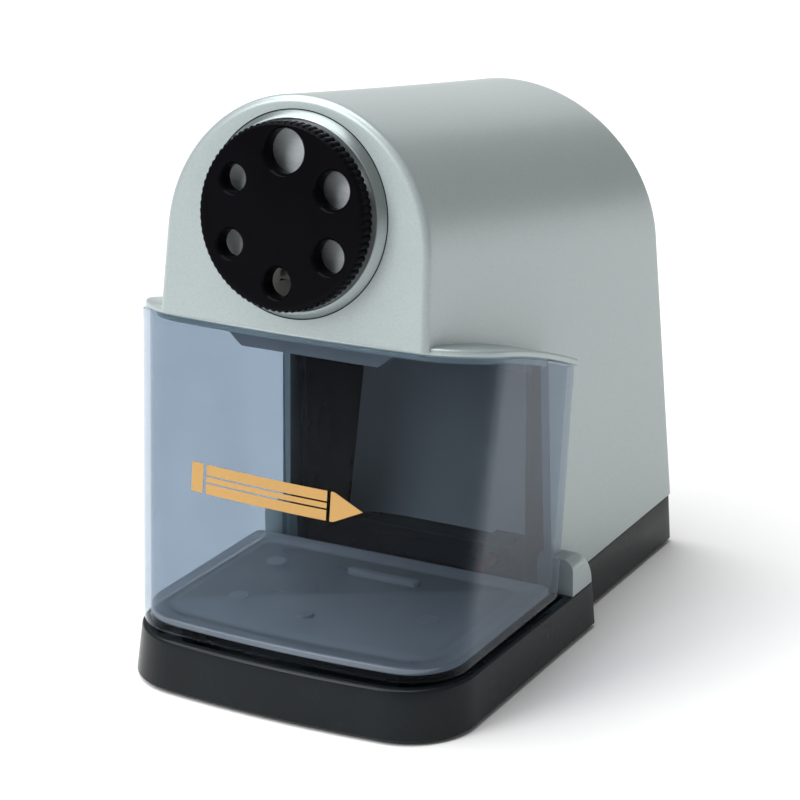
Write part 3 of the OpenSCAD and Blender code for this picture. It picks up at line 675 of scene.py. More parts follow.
@dataclass
class Housing:
    """The arched silver shell with its lip, skirt and two foot shoulders."""

    line: Outline
    wall: float = 2.6
    front_r: float = 41.9
    front_zc: float = 132.45
    front_flare: float = 2.4
    rear_r: float = 47.1
    rear_zc: float = 106.6
    rear_flare: float = 0.5
    front_round: float = 2.2
    rear_round: float = 3.0
    arch_length: float = 165.0
    round_steps: int = 9
    lip_t: float = 2.1
    lip_half: float = 57.0
    opening_r: float = 24.0
    slot_r: float = 1.5
    slot_pitch: float = 9.0
    slot_z: tuple[float, float] = (79.5, 102.5)
    gland_r: float = 5.5
    gland_z: float = 34.0

    def profile(self, s: Array, z_low: Array, inset: float, n_leg: int = 10, n_arc: int = 60) -> tuple[Array, Array]:
        """Arch outline (x, z) at each station s, from the left foot over the top to the right foot.

        Radius, centre height and flare change evenly from front to back. The legs are straight
        lines that leave the arc at the flare angle.

        Args:
            s: stations, 0 at the front and 1 at the back.
            z_low: lower end of the legs at each station.
            inset: how far the outline is drawn inwards.
            n_leg: points on a leg.
            n_arc: points on the arc.

        Returns:
            x and z, with a row per station.
        """
        s = np.atleast_1d(s)[:, None]
        r = self.front_r + s * (self.rear_r - self.front_r) - inset
        zc = self.front_zc + s * (self.rear_zc - self.front_zc)
        fl = np.radians(self.front_flare + s * (self.rear_flare - self.front_flare))
        zt = zc + r * np.sin(fl)
        k = np.linspace(0, 1, n_leg, endpoint=False)[None, :]
        low = np.asarray(z_low, float).reshape(-1, 1)
        leg_z = low + (zt - low) * k
        leg_x = r * np.cos(fl) + np.tan(fl) * (zt - leg_z)
        a = fl + (math.pi - 2 * fl) * np.linspace(0, 1, n_arc + 1)[None, :]
        x = np.hstack([-leg_x, -r * np.cos(a), leg_x[:, ::-1]])
        z = np.hstack([leg_z, zc + r * np.sin(a), leg_z[:, ::-1]])
        return x, z

    def depth(self, s: Array, z: Array) -> Array:
        """y at station s and height z, between the leaning front and back planes."""
        return (1 - s) * self.line.fy(z) + s * self.line.ry(z)

    def low_edge(self, s: Array) -> Array:
        """Lower end of the upper shell at each station: inside the lip, and level behind it."""
        y = np.zeros_like(s)
        for _ in range(6):
            z = self.line.lip_at(np.minimum(y, self.line.bay_y)) + self.lip_t / 2
            y = self.depth(s, z)
        return z

    def upper(self) -> Surface:
        """Front face, rounded edges, sides and back of everything above the lip's level."""
        line = self.line
        zj = float(line.lip_at(self.line.bay_y)) + self.lip_t / 2
        s_bay = (self.line.bay_y - line.fy(zj)) / (line.ry(zj) - line.fy(zj))
        s_first, s_last = self.front_round / self.arch_length, 1 - self.rear_round / self.arch_length
        stations = np.concatenate([np.linspace(s_first, s_bay, 24), np.linspace(s_bay, s_last, 24)[1:]])
        low = self.low_edge(stations)
        x, z = self.profile(stations, low, 0)
        side = np.stack([x, self.depth(stations[:, None], z), z], -1)
        rows_front = self.edge_rows(0.0, self.front_round, side[0], line.fy)
        rows_back = self.edge_rows(1.0, self.rear_round, side[-1], line.ry)
        skin = Surface()
        body = np.concatenate([rows_front, side[1:-1], rows_back[::-1]])
        skin.grid(body)
        self.front_face(skin, rows_front[0])
        self.back_face(skin, rows_back[0])
        self.legs(skin, stations, s_bay, zj)
        return skin

    def edge_rows(self, s: float, radius: float, inner: Array, plane: Callable[[Array], Array]) -> Array:
        """Rows of the rounded edge between the side surface and the front or back plane.

        Each column is a conic from the plane's outline, drawn in by the radius, past the sharp
        corner to the side surface.

        Args:
            s: station of the sharp corner.
            radius: size of the rounding.
            inner: the side row that the rounding ends on.
            plane: y of the plane at a height.

        Returns:
            Rows from the plane to the side.
        """
        z_low = self.low_edge(np.array([s]))
        xa, za = self.profile(np.array([s]), z_low, radius)
        xc, zc = self.profile(np.array([s]), z_low, 0)
        a = np.stack([xa[0], plane(za[0]), za[0]], -1)
        corner = np.stack([xc[0], plane(zc[0]), zc[0]], -1)
        return np.stack([conic(a, corner, inner, t) for t in np.linspace(0, 1, self.round_steps)])

    def front_face(self, skin: Surface, edge: Array) -> None:
        """Flat front between its rounded outline and a round opening that the dial hides."""
        line = self.line
        n = 40
        bottom_x = np.linspace(edge[-1, 0], edge[0, 0], n)
        bottom = np.stack([bottom_x, np.full(n, edge[0, 1]), np.full(n, edge[0, 2])], -1)
        loop = np.vstack([edge, bottom[1:-1]])
        centre = np.array([0.0, line.fy(line.dial_z), line.dial_z])
        d = loop - centre
        t = math.radians(line.tilt)
        up = d[:, 2] / math.cos(t)
        ang = np.arctan2(d[:, 0], up)
        ring = np.stack([self.opening_r * np.sin(ang), 0 * ang, self.opening_r * np.cos(ang)], -1)
        inner = line.on_axis(ring) - np.array([0, 0, line.foot])
        k = np.linspace(0, 1, 7)[:, None, None]
        skin.grid(inner * (1 - k) + loop * k, wrap_v=True)

    def back_face(self, skin: Surface, edge: Array) -> None:
        """Flat back: level rows join each point of the outline to its mirror."""
        half = len(edge) // 2 + 1
        k = np.linspace(0, 1, 13)[None, :, None]
        left, right = edge[:half][:, None], edge[::-1][:half][:, None]
        skin.grid(left * (1 - k) + right * k)

    def side_x(self, y: Array, z: Array, inset: float = 0) -> Array:
        """Half width of the legs at a depth and height."""
        s = (y - self.line.fy(z)) / (self.line.ry(z) - self.line.fy(z))
        r = self.front_r + s * (self.rear_r - self.front_r) - inset
        zc = self.front_zc + s * (self.rear_zc - self.front_zc)
        fl = np.radians(self.front_flare + s * (self.rear_flare - self.front_flare))
        return r * np.cos(fl) + np.tan(fl) * (zc + r * np.sin(fl) - z)

    def legs(self, skin: Surface, stations: Array, s_bay: float, zj: float) -> None:
        """Lower sides and lower back behind the bay, down to the parting line."""
        line = self.line
        behind = stations[stations >= s_bay - 1e-9]
        y_top = self.depth(behind, np.full_like(behind, zj))
        share = (y_top - self.line.bay_y) / (line.ry(zj) - self.line.bay_y)
        rows = 16
        v = np.linspace(0, 1, rows)[None, :]
        z = zj + 0 * share[:, None] + v * 0
        for _ in range(4):
            y = self.line.bay_y + (line.ry(z) - self.line.bay_y) * share[:, None]
            z = zj + (self.line.part_at(y) - zj) * v
        x = self.side_x(y, z)
        for side in (1, -1):
            skin.grid(np.stack([side * x, y, z], -1))
        # rounded back corner, then the flat back
        zb = z[-1]
        for _ in range(3):
            yb = line.ry(zb)
            zb = zj + (self.line.part_at(yb) - zj) * v[0]
        corner = np.stack([self.side_x(yb, zb), yb, zb], -1)
        inner = np.stack([self.side_x(yb, zb, self.rear_round), yb, zb], -1)
        start = np.stack([x[-1], y[-1], z[-1]], -1)
        turn = np.stack([conic(inner, corner, start, t) for t in np.linspace(0, 1, self.round_steps)])
        skin.grid(turn)
        skin.grid(turn * MIRROR)
        k = np.linspace(0, 1, 13)[None, :, None]
        skin.grid((inner * MIRROR)[:, None] * (1 - k) + inner[:, None] * k)

    def lip(self) -> Surface:
        """The thin flange over the bin: a section with rounded edges carried along the plan line."""
        t = self.lip_t
        r1, r2 = 0.85, 0.45
        top = arc(r1, 90, 0, 6) * [-1, 1] + [r1, t - r1]
        low = arc(r2, 0, -90, 4) * [-1, 1] + [r2, r2]
        section = np.vstack([[[15, t]], [[4, t]], top, low, [[4, 0]], [[15, 0]]])
        return self.along_lip(self.lip_half, 0.0, 18.5, self.line.bay_y - 1.6, section)

    def skirt(self) -> Surface:
        """The band that reaches down inside the bin."""
        section = np.array([[0, 1.0], [0, -2.0], [0.4, -2.4], [1.4, -2.4], [1.8, -2.0], [1.8, 1.0]])
        return self.along_lip(53.8, 2.4, 16.5, self.line.bay_y - 16.5, section)

    def along_lip(self, w: float, off: float, rc: float, yend: float, section: Array) -> Surface:
        """Carries a closed section (inset, height above the seam) along the U-shaped plan."""
        line = self.line
        p, n = line.plan(w, float(line.fy(line.lip_z)) + off, 1.7, rc, yend, 24)
        xy = p[:, None] - n[:, None] * section[None, :, :1]
        y, z = xy[..., 1], line.lip_at(xy[..., 1]) + section[None, :, 1]
        lean = math.tan(math.radians(line.tilt))
        for _ in range(4):
            y = np.minimum(xy[..., 1] + (z - line.lip_z) * lean, yend)
            z = line.lip_at(y) + section[None, :, 1]
        pts = np.stack([xy[..., 0], y, z], -1)
        out = Surface()
        out.tube(pts)
        return out

    def shoulder(self, side: int) -> Surface:
        """A foot shoulder: z = height less a rounding of radius 3.6 outwards and 8 to the back."""
        x0, x1, y0, y1, z0, z1 = 42.0, 53.9, self.line.bay_y + 0.2, 12.6, 13.9, 25.4
        rx, ry = 3.6, 8.0
        gx = np.concatenate([[x0], x1 - rx + rx * np.sin(np.linspace(0, math.pi / 2, 12))])
        gy = np.concatenate([[y0], np.linspace(y0 + 1, y1 - ry, 5)[:-1],
                             y1 - ry + ry * np.sin(np.linspace(0, math.pi / 2, 16))])
        xx, yy = np.meshgrid(gx, gy, indexing="ij")
        dx = np.clip(xx - (x1 - rx), 0, rx)
        dy = np.clip(yy - (y1 - ry), 0, ry)
        top = z1 - (rx - np.sqrt(np.maximum(rx**2 - dx**2, 0))) - (ry - np.sqrt(np.maximum(ry**2 - dy**2, 0)))
        upper = np.stack([xx, yy, top], -1)
        out = Surface()
        out.grid(upper)
        for edge in (upper[-1], upper[:, -1][::-1], upper[0][::-1], upper[:, 0]):
            base = edge.copy()
            base[:, 2] = z0
            k = np.linspace(0, 1, 3)[:, None, None]
            out.grid(edge[None] * (1 - k) + base[None] * k)
        corner = np.array([[x0, y0, z0], [x1, y0, z0], [x1, y1, z0], [x0, y1, z0]])
        out.cap(corner)
        return out.moved(lambda p: p * np.array([side, 1, 1]))

    def slots(self) -> Surface:
        """Cutters for the cooling slots of the back: round-ended bars."""
        out = Surface()
        low, high = self.slot_z
        for i in range(-3, 4):
            a = np.vstack([arc(self.slot_r, 0, 180, 10) + [0, high], arc(self.slot_r, 180, 360, 10) + [0, low]])
            loop = np.stack([a[:, 0] + self.slot_pitch * i, np.full(len(a), 60.0), a[:, 1]], -1)
            far = loop + np.array([0, 40.0, 0])
            out.tube([loop, far])
        return out

    def build(self) -> Piece:
        """Builds the shell, cuts its openings and adds lip, skirt and shoulders.

        Returns:
            The finished piece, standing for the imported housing.
        """
        line = self.line
        skin = self.upper().moved(line.stand)
        obj = skin.piece("housing_shell", SMOOTH_BODY)
        shell(obj, self.wall)
        cut(obj, self.slots().moved(line.stand).piece("slot_tool"))
        gland = Surface()
        ring = revolve(np.array([[self.gland_r, -14.0], [self.gland_r, 14.0]]), 48)
        lean = math.radians(line.rear_lean)
        gz = self.gland_z

        def place(p: Array) -> Array:
            """Turns the tool to stand square on the leaning back."""
            return np.stack([p[:, 0], float(line.ry(gz)) + p[:, 1] * math.cos(lean) - p[:, 2] * math.sin(lean),
                             gz + line.foot + p[:, 1] * math.sin(lean) + p[:, 2] * math.cos(lean)], -1)

        gland.tube(ring)
        cut(obj, gland.moved(place).piece("gland_tool"))
        trim = Surface()
        for part in (self.lip(), self.skirt(), self.shoulder(1), self.shoulder(-1)):
            trim.join(part)
        extra = trim.moved(line.stand).piece("housing_trim", SMOOTH_BODY)
        shade(obj, SMOOTH_BODY)
        obj = merge(obj, extra)
        dress(obj, SILVER)
        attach(obj, "frame")
        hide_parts("housing")
        return obj


def merge(first: Piece, *others: Piece) -> Piece:
    """Joins objects into the first."""
    bpy.ops.object.select_all(action="DESELECT")
    for o in (first, *others):
        o.select_set(True)
    bpy.context.view_layer.objects.active = first
    bpy.ops.object.join()
    return first


# ---------------------------------------------------------------- dial


@dataclass
class Dial:
    """The black selector dial: six chamfered holes, a ridged rim and a hub."""

    line: Outline
    face_y: float = -8.5
    thick: float = 5.2
    radius: float = 26.1
    ridges: int = 80
    per_ridge: int = 6
    ridge_depth: float = 0.5
    pitch_r: float = 18.0
    holes: tuple[float, ...] = (12.4, 10.6, 9.5, 8.4, 7.9, 7.9)
    chamfer: float = 0.7
    face_r: float = 25.0

    def sector_loop(self) -> Array:
        """Boundary of one sixth of the face about the top hole: two straight sides and an arc."""
        n = self.ridges * self.per_ridge // 6
        a = np.radians(np.linspace(-30, 30, n + 1))
        rim = np.stack([self.face_r * np.sin(a), self.face_r * np.cos(a)], -1)
        k = np.linspace(0, 1, 24, endpoint=False)[:, None]
        left = rim[0] * k
        right = rim[-1] * (1 - k)
        return np.vstack([left, rim, right[1:]])

    def face(self, y: float, flip: bool, chamfer: float) -> Surface:
        """A flat face made of six sectors, each running from its hole to its boundary.

        Args:
            y: place along the axis.
            flip: turns the faces over.
            chamfer: how much wider than its bore each hole starts.
        """
        out = Surface()
        loop = self.sector_loop()
        centre = np.array([0, self.pitch_r])
        d = loop - centre
        ang = np.arctan2(d[:, 0], d[:, 1])
        k = np.linspace(0, 1, 5)[:, None, None]
        for i, size in enumerate(self.holes):
            r = size / 2 + chamfer
            hole = centre + r * np.stack([np.sin(ang), np.cos(ang)], -1)
            flat = hole * (1 - k) + loop * k
            out.grid(self.turned(flat, y, i), wrap_v=True, flip=flip)
        return out

    def turned(self, flat: Array, y: float, i: int) -> Array:
        """Turns (x, z) points about the axis by i sixths and puts them at y."""
        t = math.radians(60 * i)
        x, z = flat[..., 0], flat[..., 1]
        across, up = x * math.cos(t) + z * math.sin(t), z * math.cos(t) - x * math.sin(t)
        return np.stack([across, np.full(x.shape, y), up], -1)

    def bores(self) -> Surface:
        """Hole walls: a chamfer, the bore, and the back edge."""
        out = Surface()
        loop = self.sector_loop() - np.array([0, self.pitch_r])
        ang = np.arctan2(loop[:, 0], loop[:, 1])
        ring = np.stack([np.sin(ang), np.cos(ang)], -1)
        back = self.face_y + self.thick
        for i, size in enumerate(self.holes):
            r = size / 2
            steps = [(r + self.chamfer, self.face_y), (r + 0.1, self.face_y + 0.6), (r, self.face_y + 0.85),
                     (r, back)]
            rows = [self.turned(np.array([0, self.pitch_r]) + rr * ring, y, i) for rr, y in steps]
            out.grid(np.stack(rows), wrap_v=True)
        return out

    def rim(self) -> Surface:
        """The rim: a front bevel, then ridges r = R - depth |sin| raised to a power, to the back edge."""
        n = self.ridges * self.per_ridge
        a = np.linspace(0, 2 * math.pi, n, endpoint=False) - math.pi / 6
        wave = np.abs(np.sin(a * self.ridges / 2)) ** 0.7
        full = self.radius - self.ridge_depth * (1 - wave)
        back = self.face_y + self.thick
        flat = np.full(n, self.face_r)
        rows = [(flat, self.face_y), (flat + 0.3, self.face_y + 0.06),
                (0.45 * full + 0.55 * flat + 0.1, self.face_y + 0.3), (full, self.face_y + 1.0),
                (full, back - 0.5), (full - 0.5, back), (flat, back)]
        pts = np.stack([np.stack([r * np.sin(a), np.full(n, y), r * np.cos(a)], -1) for r, y in rows])
        out = Surface()
        out.grid(pts, wrap_v=True)
        return out

    def build(self) -> Piece:
        """Builds the dial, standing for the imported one."""
        whole = self.face(self.face_y, False, self.chamfer)
        whole.join(self.face(self.face_y + self.thick, True, 0.0))
        whole.join(self.bores())
        whole.join(self.rim())
        hub = revolve(np.array([[9.5, self.face_y + self.thick + 0.01], [9.5, -1.35], [4.0, -1.35], [4.0, 8.25],
                                [1.3, 8.25], [1.3, 2.0]]), 64)
        whole.tube(hub)
        obj = whole.moved(self.line.on_axis).piece("dial_knob", 30)
        dress(obj, BLACK_GLOSS)
        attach(obj, "dial")
        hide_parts("selector_dial")
        return obj


@dataclass
class Bezel:
    """The silver cone ring round the dial."""

    line: Outline

    def build(self) -> Piece:
        """A profile turned about the dial axis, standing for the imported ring."""
        cone = [[26.35, 0.0], [26.35, -2.2], [26.5, -2.38], [26.9, -2.38], [27.2, -2.2], [28.5, -0.25], [28.65, 0.0]]
        obj = self.turned(cone, "dial_ring")
        dress(obj, RING_METAL)
        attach(obj, "frame")
        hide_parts("dial_bezel")
        seam = self.turned([[28.66, 0.05], [28.66, -0.04], [28.95, -0.04], [28.95, 0.05]], "dial_seam")
        dress(seam, BLACK_SATIN)
        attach(seam, "frame")
        return obj

    def turned(self, profile: Sequence[Sequence[float]], name: str) -> Piece:
        """Turns a closed profile of (radius, y) points about the dial axis.

        Args:
            profile: the profile's points, in order.
            name: the piece's name.

        Returns:
            The ring.
        """
        out = Surface()
        out.grid(revolve(np.array(profile), 160), wrap_u=True, wrap_v=True)
        return out.moved(self.line.on_axis).piece(name, 35)


# ---------------------------------------------------------------- bin


@dataclass
class Bin:
    """The smoke-clear shavings bin."""

    line: Outline
    low_w: float = 52.9
    top_w: float = 58.0
    z0: float = 16.7
    back0: float = -7.8
    back1: float = -5.7
    wall: float = 2.0
    corner: float = 18.5
    bow: float = 1.7
    flange: float = 41.6
    back_h: float = 29.5
    seam: float = 0.4
    floor_z: tuple[float, float] = (18.2, 20.2)
    mark_x: tuple[float, float] = (-30.0, 26.0)
    mark_z: float = 63.6
    mark_half: float = 4.2
    mark_tip: float = 0.16

    def half(self, z: Array) -> Array:
        """Half width at a height, growing evenly to the lip."""
        return self.low_w + (self.top_w - self.low_w) * (z - self.z0) / (self.line.lip_z - self.z0)

    def back(self, z: Array) -> Array:
        """y of the back at a height."""
        return self.back0 + (self.back1 - self.back0) * (z - self.z0) / (self.line.lip_z - self.z0)

    def wall_line(self, z: float, inset: float, n: int = 24, closed: bool = False) -> Array:
        """Plan line at one height: flange, rounded back corner, side, front corner and front, mirrored.

        Args:
            z: height.
            inset: how far it is drawn inwards.
            n: points per stretch.
            closed: takes the flanges to the middle.
        """
        w, yb = float(self.half(z)) - inset, float(self.back(z)) - inset
        rb = 2.2
        p, _ = self.line.plan(w, float(self.line.fy(z)) + inset, self.bow, self.corner - inset, yb - rb, n)
        end = 0.0 if closed else self.flange
        k = np.linspace(0, 1, 8, endpoint=False)[:, None]
        bend = arc(rb, 90, 180, 8)
        corner = bend + [-w + rb, yb - rb]
        start = np.array([[-end, yb]]) * (1 - k) + corner[:1] * k
        left = np.vstack([start, corner[:-1]])
        right = left[::-1] * [-1, 1]
        if closed:
            right = right[:-1]
        return np.vstack([left, p, right])

    def walls(self) -> Surface:
        """The outer wall as a grid: plan line by height, its top following the lip's seam."""
        rows = 28
        zs = np.linspace(self.z0, self.line.lip_z - self.seam, rows)
        lines = np.stack([level(self.wall_line(z, 0), z) for z in zs])
        top = self.line.lip_at(lines[-1, :, 1]) - self.seam
        for _ in range(3):
            rim = (top - self.z0) / (zs[-1] - self.z0) * (rows - 1)
            top = self.line.lip_at(rows_between(lines, rim)[:, 1]) - self.seam
        out = Surface()
        out.grid(rows_between(lines, np.linspace(0, 1, rows)[:, None] * rim))
        return out

    def floor(self) -> Surface:
        """The floor plate with a stepped panel, a finger bar, a boss and ejector marks."""
        out = Surface()
        z0, z1 = self.floor_z
        rings = [(z0, self.wall + 0.05), (z1 - 0.5, self.wall + 0.05), (z1, self.wall + 0.5), (z1, 7.0),
                 (z1 - 0.5, 7.6), (z1 - 0.5, 10.0), (z1, 10.6)]
        loops = [level(self.wall_line(z0, d, 16, True), z) for z, d in rings]
        out.tube(loops)
        bar = np.vstack([arc(1.6, 90, 270, 8) + [-10.5, 0], arc(1.6, 270, 450, 8) + [10.5, 0]])
        self.boss(out, bar + [4.0, self.back0 - 20], z1, 1.6)
        self.boss(out, arc(2.4, 0, 360, 24)[:-1] + [-3, -62], z1, 0.9)
        for x, y in ((-32, -30), (30, -48), (-28, -58)):
            self.boss(out, arc(3.2, 0, 360, 28)[:-1] + [x, y], z1, 0.15)
        return out

    def boss(self, out: Surface, loop: Array, z: float, h: float) -> None:
        """A low pad on the floor with a drawn-in top edge.

        Args:
            out: the surface that it is added to.
            loop: its plan line.
            z: height of the floor.
            h: height of the pad.
        """
        mid = loop.mean(0)
        levels = [(1.0, -0.3), (1.0, h - 0.12), (0.96, h)]
        rows = [level(mid + (loop - mid) * k, z + dz) for k, dz in levels]
        out.tube(rows)

    def low_back(self) -> Surface:
        """The low back wall between the flanges, a plate with a rounded top edge and ends."""
        x = np.linspace(-self.flange - 0.5, self.flange + 0.5, 40)
        out = Surface()
        t = self.wall
        section = [(0.0, 0.0), (0.0, 0.93), (0.25, 1.0), (t - 0.25, 1.0), (t, 0.93), (t, 0.0)]
        rows = []
        for off, k in section:
            z = np.full(x.shape, self.z0 + (self.back_h - self.z0) * k)
            rows.append(np.stack([x, self.back(z) - off, z], -1))
        out.tube(np.stack(rows, 1))
        return out

    def build(self) -> Piece:
        """Builds the bin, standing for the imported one."""
        line = self.line
        wall = self.walls().moved(line.stand).piece("bin_shell", 40)
        shell(wall, self.wall)
        bevel = wall.modifiers.new("edge", "BEVEL")
        bevel.width = 0.35 * MM
        bevel.segments = 2
        bevel.limit_method = "ANGLE"
        bevel.angle_limit = math.radians(50)
        settle(wall)
        shade(wall, 40)
        obj = merge(wall, self.low_back().moved(line.stand).piece("bin_back", 40))
        dress(obj, SMOKE)
        floor = self.floor().moved(line.stand).piece("bin_floor", 40)
        dress(floor, HAZY_SMOKE)
        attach(floor, "bin")
        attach(obj, "bin")
        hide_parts("shavings_bin")
        return obj

    def mark(self) -> Piece:
        """A thin gold pencil sign printed on the front: a bar with a tapered tip.

        Its height falls evenly to a point over the last part of its length. It follows the
        front's parabola, y = front + bow (x / (half width - corner))^2.

        Returns:
            The finished piece, riding on the bin.
        """
        out = Surface()
        whole = ((-1.0, 1.0),)
        stripes = ((-1.0, -0.3), (-0.18, 0.18), (0.3, 1.0))
        for start, end, bands in ((0.0, 0.07, whole), (0.09, 0.80, stripes), (0.82, 1.0, whole)):
            k = np.linspace(start, end, 24)[:, None]
            x = self.mark_x[0] + (self.mark_x[1] - self.mark_x[0]) * k
            half = self.mark_half * np.clip((1 - k) / self.mark_tip, 0.02, 1)
            for low, high in bands:
                z = self.mark_z + half * np.linspace(low, high, 5) - 0.02 * x
                xx = np.broadcast_to(x, z.shape)
                y = self.line.fy(z) + self.bow * (xx / (self.half(z) - self.corner)) ** 2
                out.plate(np.stack([xx, y - 0.10, z], -1), np.stack([xx, y - 0.03, z], -1))
        obj = out.moved(self.line.stand).piece("bin_mark", 40)
        dress(obj, GOLD_PRINT)
        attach(obj, "bin")
        return obj


# ---------------------------------------------------------------- bay


@dataclass
class BayPaintedReflection:
    """The dark grey plate on the leaning back wall of the bay, behind the bin. Its grey is a painted reflection of the
    bright front on the dark glossy wall.
    """

    line: Outline
    half: float = 37.2
    foot: tuple[float, float] = (29.6, 16.6)
    head: tuple[float, float] = (45.4, 82.0)
    thick: float = 1.0
    curl: float = 5.0

    def build(self) -> Piece:
        """The plate: a straight line from foot to head, swept over x.

        Its ends curl forwards by the sixth power of x over its half width.

        Returns:
            The finished piece, riding on the frame.
        """
        x = self.half * np.sin(np.linspace(-math.pi / 2, math.pi / 2, 49))
        k = np.linspace(0, 1, 13)
        xx, kk = np.meshgrid(x, k, indexing="ij")
        y = self.foot[0] + (self.head[0] - self.foot[0]) * kk - self.curl * (np.abs(xx) / self.half) ** 6
        z = self.foot[1] + (self.head[1] - self.foot[1]) * kk
        back = np.stack([xx, y, z], -1)
        front = back - np.array([0, self.thick, 0])
        out = Surface()
        out.plate(front, back)
        obj = out.moved(self.line.stand).piece("bay_painted_reflection", 40)
        # the plate's grey is a painted reflection of the bright front on the dark glossy back wall
        dress(obj, PAINTED_REFLECTION_PANEL)
        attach(obj, "frame")
        brow = self.brow().moved(self.line.stand).piece("bay_brow", 30)
        dress(brow, DARK_BROW)
        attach(brow, "frame")
        return obj

    def brow(self) -> Surface:
        """The plate over the mouth of the bay: a rounded rectangle in section, swept over x."""
        x = np.linspace(-40.5, 40.5, 25)
        low = arc(0.6, 180, 360, 8) + [-1.8, 83.4]
        section = np.vstack([low, [[-1.2, 96.0], [-2.4, 96.0]]])
        pts = np.stack([np.repeat(x[:, None], len(section), 1), np.tile(section[:, 0], (len(x), 1)),
                        np.tile(section[:, 1], (len(x), 1))], -1)
        out = Surface()
        out.tube(pts)
        return out


# ---------------------------------------------------------------- base


@dataclass
class Base:
    """The black base: a bowed front tray and a narrower back part."""

    line: Outline
    half: float = 55.1
    taper: float = 1.2 / 14.9
    height: float = 14.9
    y_front: float = -89.4
    y_step: float = 13.5
    corner: float = 21.5
    bow: float = 1.7
    rim: float = 3.0
    floor_z: float = 9.5
    rear_half: float = 48.1
    slide_x: float = 34.0
    slide_y: tuple[float, float] = (-77.0, -14.0)
    slide_top: float = 16.3

    def tray_loop(self, z: float, d: float, yend: Optional[float] = None) -> Array:
        """Closed plan line of the tray at a height, drawn in by d.

        Args:
            z: height, which also tapers the plan.
            d: inset.
            yend: back edge, the step by default.
        """
        back = (self.y_step if yend is None else yend) - d
        rb = 1.0
        w = self.half - d - self.taper * z
        yf = self.y_front + d + (self.taper + 0.06) * z
        p, _ = self.line.plan(w, yf, self.bow, self.corner - d, back - rb, 20)
        bend = arc(rb, 90, 180, 5) + [-w + rb, back - rb]
        k = np.linspace(0, 1, 12, endpoint=False)[:, None]
        start = np.array([[0.0, back]]) * (1 - k) + bend[:1] * k
        left = np.vstack([start, bend[:-1]])
        right = (left[::-1] * [-1, 1])[:-1]
        return np.vstack([left, p, right])

    def top_at(self, y: Array) -> Array:
        """Height of the tray's top edge, falling slightly to the back."""
        return np.minimum(self.height, 15.2 - 0.0122 * (y - self.y_front + 5))

    def tray(self) -> Surface:
        """Wall, rounded rim and sunk floor as one chain of closed loops."""
        h = self.height
        steps = [(3.0, 2.6, None), (0.0, 2.6, None), (0.0, 0.5, None), (0.5, 0.0, None)]
        steps += [(z, 0.0, None) for z in np.linspace(1.5, h - 0.9, 5)]
        steps += [(h - 0.9 + 0.9 * math.sin(a), 0.9 - 0.9 * math.cos(a), None) for a in np.radians([22, 45, 67, 90])]
        steps += [(h, self.rim - 0.6, -2.0), (h - 0.5, self.rim - 0.1, -2.0), (self.floor_z + 0.3, self.rim, -2.0),
                  (self.floor_z, self.rim + 0.4, -2.0)]
        loops = []
        for z, d, yend in steps:
            flat = self.tray_loop(z, d, None if yend is None else yend + self.rim)
            loops.append(level(flat, self.top_at(flat[:, 1]) - (h - z) if z > h - 1.5 else z))
        out = Surface()
        out.tube(loops)
        return out

    def rear(self) -> Surface:
        """The back part: a box with rounded upright corners and a rising top."""
        rc, gap = 3.0, 0.25
        y0, y1 = self.y_step - 1.5, self.line.body_d / 2
        loops = []
        for k, d in ((0.0, 2.6), (0.0, 0.5), (0.04, 0.0), (0.3, 0.0), (0.6, 0.0), (0.95, 0.0), (1.0, 0.35), (1.0, 6.0)):
            w = self.rear_half - d - 0.8 * k
            yb = y1 - d - 0.3 * k
            n = 24
            side = np.stack([np.full(n, w), np.linspace(y0, yb - rc, n, endpoint=False)], -1)
            bend = arc(rc, 0, 90, 8) + [w - rc, yb - rc]
            across = np.stack([np.linspace(w - rc, 0, 14)[1:], np.full(13, yb)], -1)
            half = np.vstack([side, bend, across])
            flat = np.vstack([half, (half[::-1] * [-1, 1])[1:]])
            loops.append(level(flat, (self.line.part_at(flat[:, 1]) - gap) * k))
        out = Surface()
        out.tube(loops)
        return out

    def slides(self) -> Surface:
        """Two low rails that the bin glides on."""
        out = Surface()
        y0, y1 = self.slide_y
        for x in (-self.slide_x, self.slide_x):
            loops = []
            for z, d in ((self.floor_z - 0.2, 0.0), (self.slide_top - 0.4, 0.0), (self.slide_top, 0.4)):
                x0, x1 = x - 2 + d, x + 2 - d
                loops.append(level(np.array([[x0, y0 + d], [x1, y0 + d], [x1, y1 - d], [x0, y1 - d]]), z))
            out.tube(loops)
        return out

    def build(self) -> Piece:
        """Builds the base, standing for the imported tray."""
        whole = self.tray()
        whole.join(self.rear())
        whole.join(self.slides())
        obj = whole.moved(self.line.stand).piece("base_shell", 38)
        dress(obj, BLACK_SATIN)
        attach(obj, "frame")
        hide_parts("base_tray")
        return obj


# ---------------------------------------------------------------- studio


